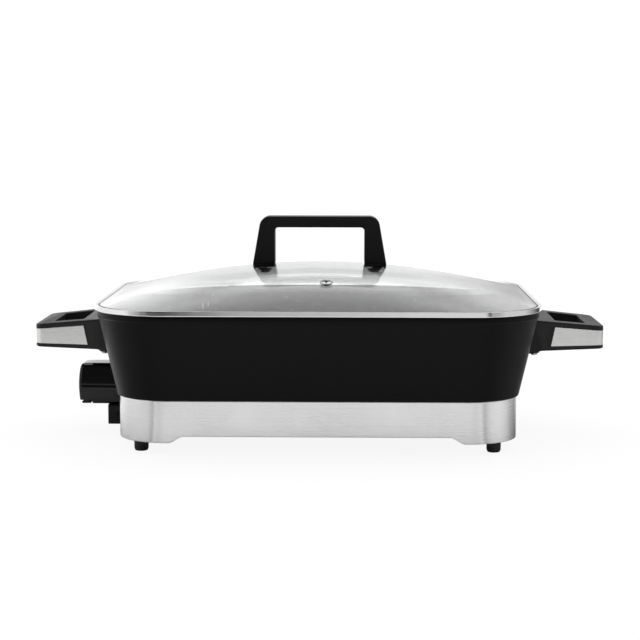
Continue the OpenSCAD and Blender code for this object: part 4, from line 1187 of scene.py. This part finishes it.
# -------------------------------------------------------------------- stage
def mat_floor():
    m, nt, b = new_mat("pale_floor")
    n = noise(nt, coords(nt), 3, 2)
    tc_ = node(nt, "ShaderNodeTexCoord")
    sp = node(nt, "ShaderNodeSeparateXYZ")
    nt.links.new(tc_.outputs["Object"], sp.inputs["Vector"])

    def math_(op, a, c=0.0):
        q = node(nt, "ShaderNodeMath", operation=op)
        for i, v in enumerate((a, c)):
            if isinstance(v, (int, float)):
                q.inputs[i].default_value = v
            else:
                nt.links.new(v, q.inputs[i])
        return q.outputs[0]

    # painted shade on the floor: slightly darker to each side, by the angle round the corners of the base: 0 in front,
    # 1 behind; the steel shows it as dark bands in its reflections
    ahead = math_("ADD", math_("MULTIPLY", sp.outputs["Y"], -1.0), -0.115)
    painted_floor_shades = []
    left = [(0.0, 0.98), (0.03, 0.95), (0.06, 0.88), (0.097, 0.76), (0.118, 0.80), (0.135, 0.86), (0.15, 0.98), (0.16, 0.96), (0.17, 0.66),
            (0.179, 0.30), (0.19, 0.30), (0.20, 0.56), (0.225, 0.66), (0.27, 0.69), (0.55, 0.70), (0.68, 0.88), (1.0, 0.92)]
    right = [(0.0, 0.98), (0.03, 0.96), (0.06, 0.90), (0.087, 0.84), (0.11, 0.86), (0.14, 0.92), (0.165, 0.98), (0.178, 0.96), (0.192, 0.62),
             (0.205, 0.40), (0.222, 0.44), (0.24, 0.68), (0.27, 0.78), (0.31, 0.85), (0.40, 0.88), (0.46, 0.84), (0.525, 0.74), (0.565, 0.66),
             (0.605, 0.52), (0.65, 0.43), (0.70, 0.35), (0.76, 0.27), (0.82, 0.50), (0.90, 0.86), (1.0, 0.90)]
    for sign, stops in ((-1, left), (1, right)):
        out = math_("ADD", math_("MULTIPLY", sp.outputs["X"], float(sign)), -0.150)
        ang = math_("MULTIPLY", math_("ARCTAN2", math_("MAXIMUM", out, 0.0), ahead), 1 / math.pi)
        painted_floor_shades.append(ramp(nt, ang, [(p, g(v)) for p, v in stops]))
    painted_side_shade_mix = node(nt, "ShaderNodeMix", data_type="RGBA")
    nt.links.new(remap(nt, sp.outputs["X"], 0.0, 1.0, -0.02, 0.02), painted_side_shade_mix.inputs["Factor"])
    nt.links.new(painted_floor_shades[0], painted_side_shade_mix.inputs[6])
    nt.links.new(painted_floor_shades[1], painted_side_shade_mix.inputs[7])
    # further away the painted shade fades to an even tone, with a painted gradient that is lighter to the left and
    # darker to the right
    farm = node(nt, "ShaderNodeMix", data_type="RGBA")
    away = math_("SQRT", math_("ADD", math_("MULTIPLY", sp.outputs["X"], sp.outputs["X"]), math_("MULTIPLY", sp.outputs["Y"], sp.outputs["Y"])))
    nt.links.new(remap(nt, away, 0.0, 1.0, 0.62, 0.80), farm.inputs["Factor"])
    nt.links.new(painted_side_shade_mix.outputs[2], farm.inputs[6])
    nt.links.new(mul(nt, ramp(nt, n, [(0.3, g(0.90)), (0.7, g(0.91))]), remap(nt, sp.outputs["X"], 1.08, 0.90, -0.5, 0.5)), farm.inputs[7])
    # and painted shade, darker again well out to each side
    wide = math_("ABSOLUTE", sp.outputs["X"])
    painted_wide_shade_l = remap(nt, sp.outputs["Y"], 1.0, 0.95, -0.30, 0.45)
    painted_wide_shade_r = math_("MAXIMUM", remap(nt, sp.outputs["Y"], 0.85, 0.04, 0.0, 0.85), remap(nt, sp.outputs["Y"], 0.0, 0.9, 2.2, 3.2))
    outer = node(nt, "ShaderNodeMix", data_type="FLOAT")
    for i, v in ((0, remap(nt, sp.outputs["X"], 0.0, 1.0, -0.3, 0.3)), (2, painted_wide_shade_l), (3, painted_wide_shade_r)):
        nt.links.new(v, outer.inputs[i])
    edge = node(nt, "ShaderNodeMix", data_type="FLOAT")
    nt.links.new(remap(nt, wide, 0.0, 1.0, 0.70, 1.0), edge.inputs[0])
    edge.inputs[2].default_value = 1.0
    nt.links.new(outer.outputs[0], edge.inputs[3])
    # camera rays skip the painted floor shade; only reflections and bounced light see it
    path = node(nt, "ShaderNodeLightPath")
    shade_ = math_("MAXIMUM", edge.outputs[0], path.outputs["Is Camera Ray"])
    even = node(nt, "ShaderNodeMix", data_type="RGBA")
    nt.links.new(path.outputs["Is Camera Ray"], even.inputs["Factor"])
    nt.links.new(farm.outputs[2], even.inputs[6])
    even.inputs[7].default_value = (0.90, 0.90, 0.90, 1)
    link(nt, mul(nt, even.outputs[2], shade_), b, "Base Color")
    b.inputs["Roughness"].default_value = 0.9
    b.inputs["Specular IOR Level"].default_value = 0.0
    # the far part glows, as a lit backdrop does
    glow = math_("MULTIPLY", remap(nt, sp.outputs["Y"], 0.0, FAR_GLOW, 0.35, 0.75), remap(nt, wide, 1.0, 0.0, 0.65, 0.95))
    link(nt, glow, b, "Emission Strength")
    b.inputs["Emission Color"].default_value = (1, 1, 1, 1)
    # near white to the eye, with only a faint shadow
    white = node(nt, "ShaderNodeEmission")
    white.inputs["Strength"].default_value = 1.0
    mixs = node(nt, "ShaderNodeMixShader")
    fade = remap(nt, sp.outputs["Y"], SHADOW_FADE, 1.0, 0.5, 2.0)
    nt.links.new(math_("MULTIPLY", path.outputs["Is Camera Ray"], fade), mixs.inputs["Fac"])
    nt.links.new(b.outputs[0], mixs.inputs[1])
    nt.links.new(white.outputs[0], mixs.inputs[2])
    nt.links.new(mixs.outputs[0], nt.nodes["Material Output"].inputs["Surface"])
    return m


SHADOW_FADE, FAR_GLOW = 0.91, 0.62
FRONT = [(-9000, -800), (-900, -800), (-900, -1200), (780, -1200), (780, -800), (9000, -800)]
fl = make("floor", [(x, y, -0.15) for x, y in FRONT + [(9000, 16000), (-9000, 16000)]], [tuple(range(len(FRONT) + 2))], mat_floor())

world = bpy.data.worlds.new("studio")
bpy.context.scene.world = world
world.use_nodes = True
wt = world.node_tree
wt.nodes.clear()
W_SEEN = 1.15
tc = wt.nodes.new("ShaderNodeTexCoord")
sx = wt.nodes.new("ShaderNodeSeparateXYZ")
wt.links.new(tc.outputs["Generated"], sx.inputs["Vector"])
DX, DY, DZ = sx.outputs["X"], sx.outputs["Y"], sx.outputs["Z"]


def wrange(src, a, b, ta, tb):
    r = wt.nodes.new("ShaderNodeMapRange")
    r.interpolation_type = "SMOOTHSTEP"
    r.inputs["From Min"].default_value = a
    r.inputs["From Max"].default_value = b
    r.inputs["To Min"].default_value = ta
    r.inputs["To Max"].default_value = tb
    wt.links.new(src, r.inputs["Value"])
    return r.outputs["Result"]


def wmath(op, a, b):
    m = wt.nodes.new("ShaderNodeMath")
    m.operation = op
    for i, v in enumerate((a, b)):
        if isinstance(v, (int, float)):
            m.inputs[i].default_value = v
        else:
            wt.links.new(v, m.inputs[i])
    return m.outputs[0]


def wmix(fac, a, b):
    m = wt.nodes.new("ShaderNodeMix")
    m.data_type = "FLOAT"
    for i, v in ((0, fac), (2, a), (3, b)):
        if isinstance(v, (int, float)):
            m.inputs[i].default_value = v
        else:
            wt.links.new(v, m.inputs[i])
    return m.outputs[0]


def wramp(src, stops):
    """stops hold (position, radiance)."""
    r = wt.nodes.new("ShaderNodeValToRGB")
    cr = r.color_ramp
    while len(cr.elements) < len(stops):
        cr.elements.new(0.5)
    for e, (p, v) in zip(cr.elements, stops):
        e.position = p
        e.color = (v / 2.5, v / 2.5, v / 2.5, 1)
    wt.links.new(src, r.inputs["Fac"])
    return wmath("MULTIPLY", r.outputs["Color"], 2.5)


# angle to the side of straight ahead of the appliance's front, 0.5 = straight
turn = wmath("ADD", wmath("MULTIPLY", wmath("ARCTAN2", DX, wmath("MULTIPLY", DY, -1.0)), 0.5 / math.pi), 0.5)
deg = lambda a: 0.5 + a / 360.0
front_low = wramp(turn, [(deg(-80), 0.95), (deg(-64), 0.72), (deg(-53), 0.58), (deg(-44), 0.42), (deg(-40.5), 0.26), (deg(-38), 0.04), (deg(-6.0), 0.04), (deg(-5.4), 0.20), (deg(-4.9), 0.38), (deg(-4.3), 0.48), (deg(-3.4), 0.54), (deg(0), 0.64), (deg(2.5), 0.84),
                         (deg(24), 0.84), (deg(27), 0.78), (deg(30.5), 0.20), (deg(31.6), 0.03), (deg(33.6), 0.03), (deg(35), 0.40), (deg(37), 0.48), (deg(48), 0.52), (deg(58), 0.74), (deg(95), 0.60)])
front_high = wramp(turn, [(deg(-42.0), 0.95), (deg(-38.5), 0.12), (deg(28), 0.12), (deg(36), 0.45), (deg(58), 0.60), (deg(95), 0.80)])
front_high = wmix(wrange(DZ, 0.86, 0.985, 0.0, 1.0), front_high, 1.1)
front = wmix(wrange(DZ, -0.03, 0.01, 0.0, 1.0), front_low, front_high)
s_el = lambda a: math.sin(math.radians(a))


def sky(*stops):
    return wramp(DZ, [(s_el(a), v) for a, v in stops])


back_l = sky((0, 1.06), (3, 1.18), (5, 1.30), (9, 1.42), (15, 1.44), (20, 1.42), (28, 1.40), (34, 1.18), (40, 1.00), (46, 0.88), (52, 0.94), (66, 1.45))
back_c = sky((0, 1.00), (5, 0.98), (15, 0.92), (25, 0.88), (28.5, 0.96), (31, 1.42), (35, 1.52), (38, 1.34), (42, 1.26), (46, 1.15), (51, 1.07), (66, 1.45))
back_r = sky((0, 0.62), (3, 0.66), (5, 0.70), (11, 0.90), (17, 1.10), (22, 1.20), (27, 1.12), (33, 1.14), (38, 1.12), (42, 1.06), (51, 1.04), (66, 1.45))
behind = wmath("ADD", wmath("MULTIPLY", wmath("ARCTAN2", DX, DY), 0.5 / math.pi), 0.5)
back = wmix(wrange(behind, deg(3.5), deg(8), 0.0, 1.0), back_c, back_r)
back = wmix(wrange(behind, deg(-11), deg(-7), 1.0, 0.0), back, back_l)
total = wmix(wrange(DY, -0.52, 0.0, 0.0, 1.0), front, back)
bg = wt.nodes.new("ShaderNodeBackground")
bg.inputs["Color"].default_value = (1, 1, 1, 1)
wt.links.new(total, bg.inputs["Strength"])
seen = wt.nodes.new("ShaderNodeBackground")
seen.inputs["Color"].default_value = (1, 1, 1, 1)
seen.inputs["Strength"].default_value = W_SEEN
lp = wt.nodes.new("ShaderNodeLightPath")
ms = wt.nodes.new("ShaderNodeMixShader")
wt.links.new(lp.outputs["Is Camera Ray"], ms.inputs["Fac"])
wt.links.new(bg.outputs[0], ms.inputs[1])
wt.links.new(seen.outputs[0], ms.inputs[2])
out = wt.nodes.new("ShaderNodeOutputWorld")
wt.links.new(ms.outputs[0], out.inputs["Surface"])


def area(name, loc, aim, sx_, sy_, radiance):
    li = bpy.data.lights.new(name, "AREA")
    li.shape = "RECTANGLE"
    li.size, li.size_y = sx_, sy_
    li.energy = radiance * math.pi * sx_ * sy_
    ob = bpy.data.objects.new(name, li)
    bpy.context.scene.collection.objects.link(ob)
    ob.location = loc
    ob.rotation_mode = "QUATERNION"
    ob.rotation_quaternion = (Vector(aim) - Vector(loc)).to_track_quat("-Z", "Y")
    return ob


area("overhead_softbox", (0.0, 0.35, 1.7), (0, 0, 0.1), 2.2, 1.3, 1.6)

# ------------------------------------------------------------------- camera
theta, pitch, roll = 0.019, 0.1191, 0.0013
cam_data = bpy.data.cameras.new("camera")
cam_data.sensor_width = 36.0
cam_data.lens = 1671.4 * 36.0 / 640.0
cam = bpy.data.objects.new("camera", cam_data)
bpy.context.scene.collection.objects.link(cam)
fwd = Vector((-math.sin(theta) * math.cos(pitch), math.cos(theta) * math.cos(pitch), -math.sin(pitch)))
right = fwd.cross(Vector((0, 0, 1))).normalized()
upv = right.cross(fwd)
r2 = right * math.cos(roll) + upv * math.sin(roll)
u2 = upv * math.cos(roll) - right * math.sin(roll)
cam.matrix_world = Matrix((
    (r2.x, u2.x, -fwd.x, 0.03214), (r2.y, u2.y, -fwd.y, -1.67569), (r2.z, u2.z, -fwd.z, 0.3116), (0, 0, 0, 1)))
cam_data.clip_start, cam_data.clip_end = 0.05, 60
bpy.context.scene.camera = cam

sc = bpy.context.scene
sc.view_settings.view_transform = "Standard"
sc.view_settings.look = "None"
